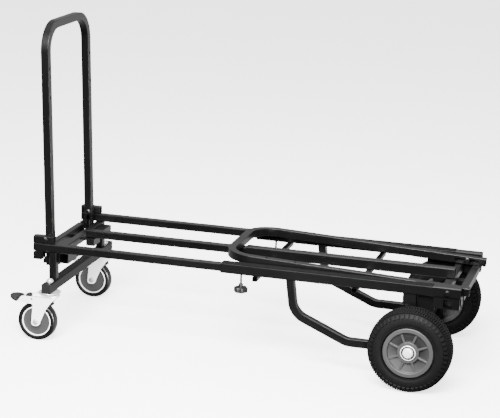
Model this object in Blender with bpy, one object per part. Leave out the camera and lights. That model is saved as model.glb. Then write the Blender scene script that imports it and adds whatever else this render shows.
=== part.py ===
# Folding utility cart with a telescoping deck and two slotted U handles.
# Metres, +Z up. The deck runs along X, with swivel casters at -X and large tyres at +X.
# X places are counted from the rear axle, and finish() centres the whole part.

import math

import bmesh
import bpy
from mathutils import Matrix, Vector

# Clearances
seat_gap = 0.0003
slide_clearance = 0.0005
turn_clearance = 0.0005
bolt_clearance = 0.0004
leg_relief = 0.001
weld_depth = 0.001
cut_margin = 0.010

# Smoothness
corner_steps = 1
bend_steps = 6
bolt_steps = 14
wheel_steps = 24
smooth_angle = math.radians(35)
right_angle = math.pi / 2
full_turn = 2 * math.pi

# Square tubes
rail_side = 0.032
thin_side = 0.025
thin_wall = 0.0022
tube_corner = 0.0025
cross_side = 0.0165
cross_wall = 0.0013
beam_side = 0.0315
beam_wall = 0.003
rail_wall = (rail_side - thin_side) / 2 - slide_clearance

# Deck rails
rail_y = 0.211
rail_z = 0.302
rail_front_x = -0.6264
rail_back_x = 0.135
centre_front_x = -0.605
centre_back_x = 0.0805
thin_front_x = -1.2608
centre_thin_front_x = -1.161
thin_overlap = 0.161
rail_top = rail_z + rail_side / 2
rail_bottom = rail_z - rail_side / 2
thin_top = rail_z + thin_side / 2
thin_bottom = rail_z - thin_side / 2
rail_in_y = rail_y - rail_side / 2
rail_out_y = rail_y + rail_side / 2
thin_in_y = rail_y - thin_side / 2
thin_out_y = rail_y + thin_side / 2
thin_back_x = rail_front_x + thin_overlap

# Grip strips
grip_thick = 0.0008
grip_width = 0.027
grip_inset = 0.0034
grip_length = 0.671

# Handles
leg_y = 0.174
reach = 0.719
tail_reach = 0.061
drop = 0.035
slot_travel = 0.070
bend_radius = 0.0825
hole_reaches = (0.492, 0.5855)
hole_radius = 0.0045
front_lean = math.radians(1.68)
back_tilt = math.radians(2.26)
leg_in_y = leg_y - thin_side / 2
leg_out_y = leg_y + thin_side / 2
relief_in_y = leg_in_y - leg_relief
relief_out_y = leg_out_y + leg_relief

# Handle pivots
bolt_radius = 0.005
bolt_head_radius = 0.010
bolt_head_height = 0.0055
bolt_crown_share = 0.62
collar_radius = 0.009
front_pivot_x = -1.2215
front_pivot_offset = 0.0021
back_pivot_x = 0.09265
back_pivot_offset = -0.0018
front_pivot_z = thin_top + seat_gap + thin_side / 2 + front_pivot_offset
back_pivot_z = rail_z + back_pivot_offset
bolt_hole_radius = bolt_radius + bolt_clearance

# Front end
riser_length = 0.068
front_bar_x = -1.2455
bar_slot_length = 0.010
bar_slot_height = 0.004
bar_foot_over = 0.0025
post_x = -1.194
beam_x = -1.1915
beam_overhang = 0.033
cheek_reach = 0.0306
cheek_shoulder_reach = 0.0265
cheek_top_reach = 0.0133
cheek_drop = 0.046
cheek_edge_drop = 0.033
cheek_shoulder_drop = 0.0284
cheek_top_drop = 0.0095
tail_stop_length = 0.075
tail_stop_drop = 0.0085
centre_block_front_x = -1.154
centre_block_length = 0.028
centre_block_width = 0.057
centre_block_height = 0.0225
tongue_width = 0.022
tongue_thick = 0.009
tail_sweep = (tail_reach + drop) * math.sin(front_lean)
stop_a_face_x = front_pivot_x + thin_side / 2 + tail_sweep + slide_clearance
stop_a_x = stop_a_face_x + thin_side / 2
bar_top = thin_bottom - seat_gap

# Straps that carry the two bars
strap_inner_y = 0.060
strap_width = 0.030
strap_thick = 0.003

# Back end
back_bar_x = 0.123
stop_b_x = back_pivot_x - thin_side - slide_clearance
end_plate_front_x = 0.052
end_plate_back_x = 0.1326
end_plate_height = 0.0347
end_plate_thick = 0.015
end_socket_side = 0.0316
end_socket_roof = 0.0067
end_socket_front_x = stop_b_x + thin_side / 2 + seat_gap
end_socket_back_x = end_socket_front_x + end_socket_side
end_socket_in_y = relief_out_y + 3 * slide_clearance
end_plate_in_y = rail_out_y - end_plate_thick
frame_under = rail_bottom - seat_gap

# Cross tubes and braces
front_cross_x = -0.5135
back_cross_x = -0.1953
strut_top_x = -0.4015
strut_bend_x = -0.387
strut_bend_z = 0.179
strut_low_x = -0.2139
strut_low_z = 0.1045
strut_radius = 0.065

# Wheel posts
post_front_x = -0.0215
post_back_x = 0.020
post_neck_x = -0.0024
gusset_x = -0.043
gusset_z = 0.251
post_foot_z = 0.0915
post_step_z = 0.150
post_neck_z = 0.172
web_thick = 0.004
web_drop = 0.0505
web_low_drop = 0.080

# Rear wheels
tyre_radius = 0.130
tyre_width = 0.0932
wheel_y = 0.2851
bead_radius = 0.078
axle_radius = 0.008
hub_face_inset = 0.004
hub_back_inset = 0.006
hub_web_half = 0.012
hub_wall = 0.007
hub_boss_radius = 0.0335
hub_boss_inset = 0.0085
rib_count = 8
rib_width = 0.007
rib_inset = 0.0095
cap_radius = 0.0255
cap_thick = 0.0035
cap_nut_radius = 0.0185
cap_nut_height = 0.0075
cap_roof = 0.006
spacer_radius = 0.014
tread_depth = 0.0075
tread_pitches = 12
tread_bar_share = 0.16
# Points across half a tyre: rise from the bead to the tread, half width, and groove depth
tyre_rise_shares = (0, 0.06, 0.26, 0.82, 0.965, 1)
tyre_width_shares = (0.86, 0.95, 1, 0.96, 0.78, 0.14)
tyre_groove_shares = (0, 0, 0, 0.5, 1, 1)
axle_z = tyre_radius

# Lock knobs
knob_x = -0.562
knob_shaft_radius = 0.00325
knob_collar_radius = 0.00675
knob_head_radius = 0.022
knob_shaft_drop = 0.032
knob_collar_height = 0.0115
knob_head_height = 0.0165
knob_lobe_share = 0.88
knob_lobes = 6
knob_bevel = 0.0034

# Casters
caster_y = 0.251
caster_trail = 0.041
caster_radius = 0.0645
caster_headroom = 0.054
caster_width = 0.034
caster_tread = 0.0153
caster_ring_wall = 0.0036
caster_ring_share = 0.92
# Points across half a caster tyre
caster_rise_shares = (0.79, 0.936, 1)
caster_width_shares = (1, 0.8, 0.4)
caster_core_width = 0.026
caster_boss_radius = 0.014
caster_axle_radius = 0.006
caster_axle_head = 0.0085
caster_axle_head_height = 0.004
race_radius = 0.036
race_height = 0.0078
race_cone_share = 0.8
fork_gap = 0.003
fork_plate = 0.0035
fork_wall = 0.003
king_radius = 0.005
king_head_radius = 0.0125
king_head_height = 0.011
king_dome_share = 0.85
king_nut_radius = 0.009
king_nut_height = 0.0055

# Fork side, from the swivel axis and down from the fork's top
fork_arm_x = -0.1005
fork_arm_top = 0.0115
fork_arm_drop = 0.034
fork_arm_chamfer = 0.007
fork_front_x = -0.0505
fork_foot_radius = 0.0143
fork_rear_x = 0.0285
fork_rear_drop = 0.0105
fork_slant_x = -0.006
fork_slant_drop = 0.0475

# Brake pedals, from the pedal's pivot
pedal_pivot_x = -0.0535
pedal_pivot_drop = 0.0175
pedal_pin_radius = 0.003
pedal_half = 0.0145
pedal_tip_x = -0.082
pedal_tip_gap = 0.0015
pedal_tip_top = 0.003
pedal_tip_low = -0.003
pedal_root_top = -0.004
pedal_root_low = -0.0105
pedal_lever_top = 0.0125
pedal_top = 0.0022
pedal_low = -0.009
pedal_spur_x = 0.064
pedal_spur_drop = -0.0135
pedal_spur_root_x = 0.052
pedal_lever_front_x = -0.031
pedal_lever_back_x = -0.010

# Layout worked out from the sizes
beam_z = caster_radius * 2 + caster_headroom
beam_top = beam_z + beam_side / 2
beam_bottom = beam_z - beam_side / 2
caster_ring_radius = caster_radius - caster_tread
caster_core_radius = caster_ring_radius - caster_ring_wall
race_bottom = beam_bottom - seat_gap - race_height
fork_top = race_bottom - turn_clearance
fork_inner = caster_width / 2 + fork_gap
fork_outer = fork_inner + fork_wall
caster_x = beam_x - caster_trail
beam_half = caster_y + beam_overhang
pedal_x = beam_x + pedal_pivot_x
pedal_z = fork_top - pedal_pivot_drop
front_end_x = pedal_x + pedal_tip_x
tail_run = tail_reach * math.cos(back_tilt) + thin_side / 2 * math.sin(back_tilt)
back_end_x = back_pivot_x + tail_run
middle_x = (front_end_x + back_end_x) / 2


def clear_scene():
    for obj in list(bpy.data.objects):
        bpy.data.objects.remove(obj, do_unlink=True)


def make_material(name, colour, roughness, metallic):
    material = bpy.data.materials.new(name)
    material.use_nodes = True
    shader = material.node_tree.nodes["Principled BSDF"]
    shader.inputs["Base Color"].default_value = (*colour, 1)
    shader.inputs["Roughness"].default_value = roughness
    shader.inputs["Metallic"].default_value = metallic
    return material


def finish(bm, name, material, origin):
    """Turn the mesh, drawn in cart places, into an object with its origin at the given place."""
    origin = Vector(origin)
    bmesh.ops.translate(bm, verts=bm.verts, vec=-origin)
    bmesh.ops.recalc_face_normals(bm, faces=bm.faces)
    mesh = bpy.data.meshes.new(name)
    bm.to_mesh(mesh)
    bm.free()
    mesh.materials.append(material)
    mesh.shade_smooth()
    mesh.set_sharp_from_angle(angle=smooth_angle)
    obj = bpy.data.objects.new(name, mesh)
    obj.location = origin - Vector((middle_x, 0, 0))
    bpy.context.collection.objects.link(obj)
    return obj


def combine(obj, other, operation):
    """Join or cut with another object, which is used up."""
    modifier = obj.modifiers.new("combine", "BOOLEAN")
    modifier.operation = operation
    modifier.solver = "EXACT"
    modifier.object = other
    bpy.context.view_layer.update()
    graph = bpy.context.evaluated_depsgraph_get()
    mesh = bpy.data.meshes.new_from_object(obj.evaluated_get(graph))
    obj.modifiers.clear()
    obj.data = mesh
    bpy.data.objects.remove(other, do_unlink=True)
    mesh.shade_smooth()
    mesh.set_sharp_from_angle(angle=smooth_angle)


def square_outline(side, corner):
    """A square with rounded corners, anticlockwise."""
    flat = side / 2 - corner
    points = []
    for quarter in range(4):
        middle = right_angle * (quarter + 1 / 2)
        across = math.copysign(flat, math.cos(middle))
        up = math.copysign(flat, math.sin(middle))
        for step in range(corner_steps + 1):
            angle = right_angle * (quarter + step / corner_steps)
            points.append((across + corner * math.cos(angle), up + corner * math.sin(angle)))
    return points


def skin(bm, rings, closed=False):
    """Join rings of vertices with faces."""
    pairs = list(zip(rings, rings[1:]))
    if closed:
        pairs.append((rings[-1], rings[0]))
    for low, high in pairs:
        if len(low) == 1 and len(high) == 1:
            continue
        count = max(len(low), len(high))
        for index in range(count):
            following = (index + 1) % count
            corners = [low[index % len(low)], low[following % len(low)]]
            corners += [high[following % len(high)], high[index % len(high)]]
            unique = list(dict.fromkeys(corners))
            bm.faces.new(unique)


def sweep(path, normal, side, wall, corner=tube_corner):
    """A square tube along a flat path of (place, direction) pairs. A wall of 0 makes it solid."""
    bm = bmesh.new()
    normal = Vector(normal)
    outer = []
    inner = []
    for place, direction in path:
        up = direction.cross(normal)
        frame = [(outer, square_outline(side, corner))]
        if wall > 0:
            frame.append((inner, square_outline(side - wall * 2, max(corner - wall, corner / 4))))
        for rings, outline in frame:
            rings.append([bm.verts.new(place + normal * a + up * b) for a, b in outline])
    skin(bm, outer)
    if wall > 0:
        skin(bm, inner)
        skin(bm, [outer[0], inner[0]])
        skin(bm, [outer[-1], inner[-1]])
    else:
        bm.faces.new(outer[0])
        bm.faces.new(outer[-1])
    return bm


def straight_tube(name, material, start, end, side, wall):
    """A straight square tube with its origin at its middle."""
    start = Vector(start)
    end = Vector(end)
    direction = (end - start).normalized()
    normal = Vector((0, 1, 0)) if abs(direction.y) < 1 / 2 else Vector((0, 0, 1))
    bm = sweep([(start, direction), (end, direction)], normal, side, wall)
    return finish(bm, name, material, (start + end) / 2)


def block(name, material, low, high):
    """A box between two corners."""
    low = Vector(low)
    high = Vector(high)
    bm = bmesh.new()
    bmesh.ops.create_cube(bm, size=1)
    bmesh.ops.scale(bm, verts=bm.verts, vec=high - low)
    bmesh.ops.translate(bm, verts=bm.verts, vec=(low + high) / 2)
    return finish(bm, name, material, (low + high) / 2)


def prism(name, material, outline, low_y, high_y, origin):
    """A plate with an outline of (x, z) points between two Y places."""
    bm = bmesh.new()
    rings = [[bm.verts.new((x, y, z)) for x, z in outline] for y in (low_y, high_y)]
    skin(bm, rings)
    bm.faces.new(rings[0])
    bm.faces.new(rings[1])
    return finish(bm, name, material, origin)


def turned(name, material, profile, centre, axis, steps, closed=False):
    """A turned piece from (radius, distance along the axis) points, with its origin at the centre."""
    bm = bmesh.new()
    axis = Vector(axis)
    centre = Vector(centre)
    across = Vector((1, 0, 0))
    up = axis.cross(across)
    rings = []
    for radius, along in profile:
        if radius == 0:
            rings.append([bm.verts.new(centre + axis * along)])
            continue
        ring = []
        for step in range(steps):
            angle = full_turn * step / steps
            spoke = across * math.cos(angle) + up * math.sin(angle)
            ring.append(bm.verts.new(centre + axis * along + spoke * radius))
        rings.append(ring)
    skin(bm, rings, closed)
    return finish(bm, name, material, centre)


def drill(obj, centre, axis, radius, length, steps=bolt_steps):
    """Cut a round hole centred on a place."""
    ends = ((0, -length / 2), (radius, -length / 2), (radius, length / 2), (0, length / 2))
    cutter = turned("cutter", cutter_material, ends, centre, axis, steps)
    combine(obj, cutter, "DIFFERENCE")


def bend_path(points, radii, steps):
    """(place, direction) pairs along straight runs with rounded bends."""
    points = [Vector(point) for point in points]
    path = [(points[0], (points[1] - points[0]).normalized())]
    for before, corner, after, radius in zip(points, points[1:], points[2:], radii):
        entry = (corner - before).normalized()
        leave = (after - corner).normalized()
        turn = entry.angle(leave)
        cut = radius * math.tan(turn / 2)
        axis = entry.cross(leave).normalized()
        inward = axis.cross(entry)
        centre = corner - entry * cut + inward * radius
        for step in range(steps + 1):
            spin = Matrix.Rotation(turn * step / steps, 3, axis)
            path.append((centre - (spin @ inward) * radius, spin @ entry))
    path.append((points[-1], (points[-1] - points[-2]).normalized()))
    return path


def side_name(sign):
    return "near" if sign < 0 else "far"


def span(sign, inner, outer):
    """The low and high Y of a piece on one side."""
    return sorted((sign * inner, sign * outer))


# Deck

def make_rails():
    for sign in (-1, 1):
        place = side_name(sign)
        rail = straight_tube(f"outer_rail_{place}", rail_paint, (rail_front_x, sign * rail_y, rail_z),
                             (rail_back_x, sign * rail_y, rail_z), rail_side, rail_wall)
        drill(rail, (back_pivot_x, sign * rail_y, back_pivot_z), (0, 1, 0), bolt_hole_radius,
              rail_side + cut_margin)
        drill(rail, (knob_x, sign * rail_y, rail_bottom), (0, 0, 1), knob_shaft_radius + bolt_clearance,
              rail_side / 2)
        low, high = span(sign, rail_y - grip_width / 2, rail_y + grip_width / 2)
        start = rail_front_x + grip_inset
        block(f"grip_strip_{place}", grip_black, (start, low, rail_top + seat_gap),
              (start + grip_length, high, rail_top + seat_gap + grip_thick))
    straight_tube("outer_rail_centre", rail_paint, (centre_front_x, 0, rail_z),
                  (centre_back_x, 0, rail_z), rail_side, rail_wall)
    straight_tube("inner_rail_centre", rail_paint, (centre_thin_front_x, 0, rail_z),
                  (thin_back_x, 0, rail_z), thin_side, thin_wall)


def make_inner_rails():
    """The near and far inner rails, each with the welded end of the front bar below it."""
    for sign in (-1, 1):
        place = side_name(sign)
        rail = straight_tube(f"inner_rail_{place}", rail_paint, (thin_front_x, sign * rail_y, rail_z),
                             (thin_back_x, sign * rail_y, rail_z), thin_side, thin_wall)
        low, high = span(sign, relief_out_y, thin_out_y)
        bar_front = front_bar_x - thin_side / 2
        bar_back = front_bar_x + thin_side / 2
        foot_low = (bar_front - bar_foot_over, low, bar_top - thin_side - bar_foot_over)
        foot = block("foot", rail_paint, foot_low, (bar_back, high, thin_bottom - bar_slot_height))
        root = block("root", rail_paint, (bar_front + bar_slot_length, low, bar_top - thin_side / 2),
                     (bar_back, high, thin_bottom + weld_depth))
        combine(foot, root, "UNION")
        combine(rail, foot, "UNION")


def make_cross_tubes():
    for name, x in (("cross_tube_front", front_cross_x), ("cross_tube_back", back_cross_x)):
        z = frame_under - cross_side / 2
        straight_tube(name, rail_paint, (x, -rail_out_y, z), (x, rail_out_y, z), cross_side, cross_wall)


def make_knobs():
    for sign in (-1, 1):
        top = thin_bottom - seat_gap
        tip = top - rail_bottom
        collar = -knob_shaft_drop
        head = collar - knob_collar_height
        low = head - knob_head_height
        profile = ((0, tip), (knob_shaft_radius, tip), (knob_shaft_radius, collar),
                   (knob_collar_radius, collar), (knob_collar_radius, head),
                   (knob_head_radius * knob_lobe_share, head), (knob_head_radius, head - knob_bevel),
                   (knob_head_radius, low + knob_bevel), (knob_head_radius * knob_lobe_share, low),
                   (0, low))
        knob = turned(f"lock_knob_{side_name(sign)}", knob_black, profile,
                      (knob_x, sign * rail_y, rail_bottom), (0, 0, 1), knob_lobes * 2)
        for vertex in knob.data.vertices:
            spoke = math.hypot(vertex.co.x, vertex.co.y)
            if spoke > knob_collar_radius * 2:
                angle = math.atan2(vertex.co.y, vertex.co.x)
                wave = (1 + math.cos(angle * knob_lobes)) / 2
                share = knob_lobe_share + (1 - knob_lobe_share) * wave
                vertex.co.x *= share
                vertex.co.y *= share


# Handles

def make_handle(name, pivot_x, pivot_z, angle, lift):
    """A U of square tube. Its own frame has the legs upright and the pivot at the origin."""
    foot = lift - tail_reach
    top = lift + reach
    corners = ((0, -leg_y, foot), (0, -leg_y, top), (0, leg_y, top), (0, leg_y, foot))
    path = bend_path(corners, (bend_radius, bend_radius), bend_steps)
    handle = finish(sweep(path, (1, 0, 0), thin_side, thin_wall), name, handle_paint, (0, 0, 0))
    centred = Vector((middle_x, 0, 0))
    for sign in (-1, 1):
        for hole_reach in hole_reaches:
            drill(handle, (0, sign * leg_y, lift + hole_reach), (1, 0, 0), hole_radius,
                  thin_side + cut_margin)
        slot = slot_cutter(sign, lift)
        combine(handle, slot, "DIFFERENCE")
    handle.location = Vector((pivot_x, 0, pivot_z)) - centred
    handle.rotation_euler = (0, angle, 0)
    return handle


def slot_cutter(sign, lift):
    """The long hole in a leg, drawn as two half rounds joined by flats."""
    bm = bmesh.new()
    half = (thin_side + cut_margin) / 2
    steps = bolt_steps // 2
    outline = []
    for end, turn in ((1, 0), (-1, math.pi)):
        for step in range(steps + 1):
            angle = turn + math.pi * step / steps
            across = bolt_hole_radius * math.cos(angle)
            along = bolt_hole_radius * math.sin(angle) + end * slot_travel / 2
            outline.append((across, along))
    rings = []
    for side in (-1, 1):
        y = sign * leg_y + side * half
        rings.append([bm.verts.new((a, y, lift + b)) for a, b in outline])
    skin(bm, rings)
    bm.faces.new(rings[0])
    bm.faces.new(rings[1])
    return finish(bm, "slot", cutter_material, (0, 0, 0))


def make_pivot_bolt(name, sign, x, z, frame_in, frame_out):
    """A bolt through the frame and the leg, with a collar between them."""
    leg_face = leg_in_y - seat_gap
    leg_back = leg_out_y + seat_gap
    collar_end = frame_in - seat_gap
    seat = frame_out + seat_gap
    crown = bolt_head_radius * bolt_crown_share
    profile = ((0, leg_face - bolt_head_height), (crown, leg_face - bolt_head_height),
               (bolt_head_radius, leg_face - bolt_head_height / 2), (bolt_head_radius, leg_face),
               (bolt_radius, leg_face), (bolt_radius, leg_back),
               (collar_radius, leg_back), (collar_radius, collar_end),
               (bolt_radius, collar_end), (bolt_radius, seat),
               (bolt_head_radius, seat), (bolt_head_radius, seat + bolt_head_height / 3),
               (crown, seat + bolt_head_height), (0, seat + bolt_head_height))
    turned(name, dark_bolt, profile, (x, 0, z), (0, sign, 0), bolt_steps)


def make_handles():
    make_handle("handle_front", front_pivot_x, front_pivot_z, -front_lean, -drop)
    make_handle("handle_back", back_pivot_x, back_pivot_z, back_tilt - right_angle, 0)
    for sign in (-1, 1):
        place = side_name(sign)
        make_pivot_bolt(f"front_pivot_bolt_{place}", sign, front_pivot_x, front_pivot_z,
                        thin_in_y, thin_out_y)
        make_pivot_bolt(f"back_pivot_bolt_{place}", sign, back_pivot_x, back_pivot_z,
                        rail_in_y, rail_out_y)


# Front end

def make_bar(name, x, stop_x, top):
    """A cross bar between the handle's tails, on two straps that lie under it and the stop."""
    z = top - thin_side / 2
    bar = straight_tube(name, rail_paint, (x, -relief_in_y, z), (x, relief_in_y, z), thin_side, thin_wall)
    low_x = min(x, stop_x) - thin_side / 2
    high_x = max(x, stop_x) + thin_side / 2
    under = top - thin_side
    for sign in (-1, 1):
        low, high = span(sign, strap_inner_y, strap_inner_y + strap_width)
        strap = block("strap", rail_paint, (low_x, low, under - seat_gap - strap_thick),
                      (high_x, high, under - seat_gap))
        lug_front = x - thin_side / 4
        lug = block("lug", rail_paint, (lug_front, low + strap_thick, under - seat_gap - strap_thick / 2),
                    (lug_front + thin_side / 2, high - strap_thick, under + thin_wall / 2))
        combine(strap, lug, "UNION")
        combine(bar, strap, "UNION")


def make_front_end():
    make_bar("front_bar", front_bar_x, stop_a_x, bar_top)
    stop_z = bar_top - thin_side / 2
    stop_half = thin_in_y - seat_gap
    stop = straight_tube("front_stop_tube", rail_paint, (stop_a_x, -stop_half, stop_z),
                         (stop_a_x, stop_half, stop_z), thin_side, thin_wall)
    for sign in (-1, 1):
        add_tail_guide(stop, sign, stop_half)
    for sign in (-1, 1):
        place = side_name(sign)
        riser_z = thin_top + seat_gap + thin_side / 2
        riser = straight_tube(f"riser_{place}", rail_paint, (thin_front_x, sign * rail_y, riser_z),
                              (thin_front_x + riser_length, sign * rail_y, riser_z), thin_side, thin_wall)
        drill(riser, (front_pivot_x, sign * rail_y, front_pivot_z), (0, 1, 0), bolt_hole_radius,
              thin_side + cut_margin)
        straight_tube(f"front_post_{place}", rail_paint, (post_x, sign * rail_y, beam_top + seat_gap),
                      (post_x, sign * rail_y, thin_bottom - seat_gap), thin_side, thin_wall)
    beam = straight_tube("caster_beam", rail_paint, (beam_x, -beam_half, beam_z),
                         (beam_x, beam_half, beam_z), beam_side, beam_wall)
    for sign in (-1, 1):
        drill(beam, (beam_x, sign * caster_y, beam_z), (0, 0, 1), king_radius + bolt_clearance,
              beam_side + cut_margin)
    make_centre_block()


def add_tail_guide(stop, sign, outer_y):
    """The cheek beside the handle's tail, and the short tube behind it, welded to the stop tube."""
    stop_front = stop_a_x - thin_side / 2
    stop_back = stop_a_x + thin_side / 2
    stop_low = bar_top - thin_side
    tube_front = stop_back - weld_depth
    tube_back = tube_front + rail_side
    seam_x = stop_front + weld_depth
    seam_z = stop_low + weld_depth
    foot_x = tube_front + weld_depth
    cheek_front = stop_front - cheek_reach
    cheek_low = thin_bottom - cheek_drop
    cheek_top = thin_bottom - cheek_top_drop
    outline = ((cheek_front, cheek_low), (foot_x, cheek_low), (foot_x, seam_z), (seam_x, seam_z),
               (seam_x, cheek_top), (stop_front - cheek_top_reach, cheek_top),
               (stop_front - cheek_shoulder_reach, thin_bottom - cheek_shoulder_drop),
               (cheek_front, thin_bottom - cheek_edge_drop))
    low, high = span(sign, relief_out_y, outer_y)
    cheek = prism("cheek", rail_paint, outline, low, high, (stop_front, 0, stop_low))
    tube_top = thin_bottom - tail_stop_drop
    tube_low = tube_top - rail_side
    low, high = span(sign, outer_y - tail_stop_length, outer_y)
    tube = block("tail_stop", rail_paint, (tube_front, low, tube_low), (tube_back, high, tube_top))
    low, high = span(sign, outer_y - tail_stop_length + rail_wall, outer_y + cut_margin)
    hollow = block("hollow", cutter_material, (tube_front + rail_wall, low, tube_low + rail_wall),
                   (tube_back - rail_wall, high, tube_top - rail_wall))
    combine(tube, hollow, "DIFFERENCE")
    combine(tube, cheek, "UNION")
    combine(stop, tube, "UNION")


def make_centre_block():
    """The block that carries the centre inner rail, with its tongue to the stop tube."""
    top = thin_bottom - seat_gap
    body = block("centre_block", rail_paint, (centre_block_front_x, -centre_block_width / 2,
                                              top - centre_block_height),
                 (centre_block_front_x + centre_block_length, centre_block_width / 2, top))
    start = stop_a_x + thin_side / 2 + seat_gap
    tongue = block("tongue", rail_paint, (start, -tongue_width / 2, top - tongue_thick - weld_depth),
                   (centre_block_front_x + weld_depth, tongue_width / 2, top - weld_depth))
    combine(body, tongue, "UNION")


# Back end

def make_back_end():
    make_bar("back_bar", back_bar_x, stop_b_x, frame_under)
    stop_z = frame_under - thin_side / 2
    stop_half = end_plate_in_y - seat_gap
    straight_tube("back_stop_tube", rail_paint, (stop_b_x, -stop_half, stop_z),
                  (stop_b_x, stop_half, stop_z), thin_side, thin_wall)
    for sign in (-1, 1):
        make_end_plate(sign)


def make_end_plate(sign):
    """The welded side plate with its square socket, and the end of the back bar."""
    top = frame_under
    low_z = top - end_plate_height
    low, high = span(sign, end_plate_in_y, rail_out_y)
    plate = block(f"end_plate_{side_name(sign)}", rail_paint, (end_plate_front_x, low, low_z),
                  (end_plate_back_x, high, top))
    low, high = span(sign, end_socket_in_y, end_plate_in_y + weld_depth)
    socket = block("socket", rail_paint, (end_socket_front_x, low, low_z + weld_depth),
                   (end_socket_back_x, high, top - weld_depth))
    combine(plate, socket, "UNION")
    low, high = span(sign, relief_out_y, end_plate_in_y + weld_depth)
    stub = block("stub", rail_paint, (back_bar_x - thin_side / 2, low, top - thin_side),
                 (back_bar_x + thin_side / 2, high, top - weld_depth / 2))
    combine(plate, stub, "UNION")
    low, high = span(sign, end_socket_in_y + rail_wall, rail_out_y + cut_margin)
    hollow = block("hollow", cutter_material, (end_socket_front_x + rail_wall, low, low_z + rail_wall),
                   (end_socket_back_x - rail_wall, high, top - end_socket_roof))
    combine(plate, hollow, "DIFFERENCE")


def make_struts():
    post_face = post_front_x - seat_gap
    for sign in (-1, 1):
        y = sign * rail_y
        corners = ((strut_top_x, y, frame_under), (strut_bend_x, y, strut_bend_z),
                   (strut_low_x, y, strut_low_z), (post_face, y, strut_low_z))
        path = bend_path(corners, (strut_radius, strut_radius), bend_steps // 2)
        path[0] = (path[0][0], Vector((0, 0, -1)))
        bm = sweep(path, (0, 1, 0), thin_side, thin_wall)
        finish(bm, f"strut_{side_name(sign)}", rail_paint, (strut_top_x, y, frame_under))


def make_wheel_posts():
    outline = ((gusset_x, frame_under), (gusset_x, gusset_z), (post_front_x, gusset_z),
               (post_front_x, post_foot_z), (post_back_x, post_foot_z), (post_back_x, post_step_z),
               (post_neck_x, post_neck_z), (post_neck_x, frame_under))
    web_front = post_neck_x - weld_depth
    web_back = end_plate_front_x - seat_gap
    web_outline = ((web_front, frame_under), (web_back, frame_under), (web_back, frame_under - web_drop),
                   (web_front, frame_under - web_low_drop))
    for sign in (-1, 1):
        low, high = span(sign, thin_in_y, thin_out_y)
        post = prism(f"wheel_post_{side_name(sign)}", rail_paint, outline, low, high,
                     (0, sign * rail_y, axle_z))
        drill(post, (0, sign * rail_y, axle_z), (0, 1, 0), axle_radius + bolt_clearance,
              thin_side + cut_margin)
        low, high = span(sign, thin_in_y, thin_in_y + web_thick)
        web = prism("web", rail_paint, web_outline, low, high, (post_neck_x, 0, frame_under))
        combine(post, web, "UNION")


# Rear wheels

def make_axle():
    end = wheel_y + tyre_width / 2 - hub_boss_inset + cap_thick + cap_nut_height - cap_roof
    turned("axle", zinc, ((0, -end), (axle_radius, -end), (axle_radius, end), (0, end)),
           (0, 0, axle_z), (0, 1, 0), bolt_steps)
    for sign in (-1, 1):
        place = side_name(sign)
        inner = thin_out_y + seat_gap
        outer = wheel_y - tyre_width / 2 + hub_back_inset - turn_clearance
        bore = axle_radius + bolt_clearance
        turned(f"axle_spacer_{place}", zinc, ((bore, inner), (spacer_radius, inner),
                                              (spacer_radius, outer), (bore, outer)),
               (0, 0, axle_z), (0, sign, 0), bolt_steps, True)
        base = wheel_y + tyre_width / 2 - hub_boss_inset + turn_clearance
        nut = base + cap_thick
        tip = nut + cap_nut_height
        roof = end + seat_gap
        turned(f"axle_cap_{place}", chrome, ((0, roof), (bore, roof), (bore, base), (cap_radius, base),
                                             (cap_radius, base + cap_thick / 3), (cap_nut_radius, nut),
                                             (cap_nut_radius, tip - cap_thick / 2),
                                             (cap_nut_radius * bolt_crown_share, tip), (0, tip)),
               (0, 0, axle_z), (0, sign, 0), bolt_steps)


def make_hub(sign):
    half = tyre_width / 2
    face = half - hub_face_inset
    back = -half + hub_back_inset
    boss = half - hub_boss_inset
    rib_face = half - rib_inset
    bore = axle_radius + turn_clearance
    rim = bead_radius - hub_wall
    profile = ((bore, back), (hub_boss_radius, back), (hub_boss_radius, -hub_web_half),
               (rim, -hub_web_half), (rim, back), (bead_radius, back),
               (bead_radius, face), (rim, face), (rim, hub_web_half),
               (hub_boss_radius, hub_web_half), (hub_boss_radius, boss), (bore, boss))
    centre = (0, sign * wheel_y, axle_z)
    hub = turned(f"wheel_hub_{side_name(sign)}", hub_grey, profile, centre, (0, sign, 0), wheel_steps, True)
    for index in range(rib_count // 2):
        angle = full_turn * (index + 1 / 2) / rib_count
        rib = make_rib(sign, angle, rim + weld_depth, -rib_face, rib_face)
        combine(hub, rib, "UNION")
    drill(hub, centre, (0, 1, 0), bore, tyre_width)
    return hub


def make_rib(sign, angle, length, low, high):
    """One bar across the hub and through its web, which makes two ribs on each face."""
    bm = bmesh.new()
    bmesh.ops.create_cube(bm, size=1)
    bmesh.ops.scale(bm, verts=bm.verts, vec=(length * 2, high - low, rib_width))
    bmesh.ops.translate(bm, verts=bm.verts, vec=(0, sign * (low + high) / 2, 0))
    bmesh.ops.rotate(bm, verts=bm.verts, matrix=Matrix.Rotation(angle, 3, "Y"))
    bmesh.ops.translate(bm, verts=bm.verts, vec=(0, sign * wheel_y, axle_z))
    return finish(bm, "rib", hub_grey, (0, sign * wheel_y, axle_z))


def tyre_section():
    """(radius, place across, groove depth) points from the outer bead to the middle."""
    half = tyre_width / 2
    bead = bead_radius + seat_gap
    rise = tyre_radius - bead
    shares = zip(tyre_rise_shares, tyre_width_shares, tyre_groove_shares)
    return [(bead + rise * up, half * out, tread_depth * groove) for up, out, groove in shares]


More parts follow.
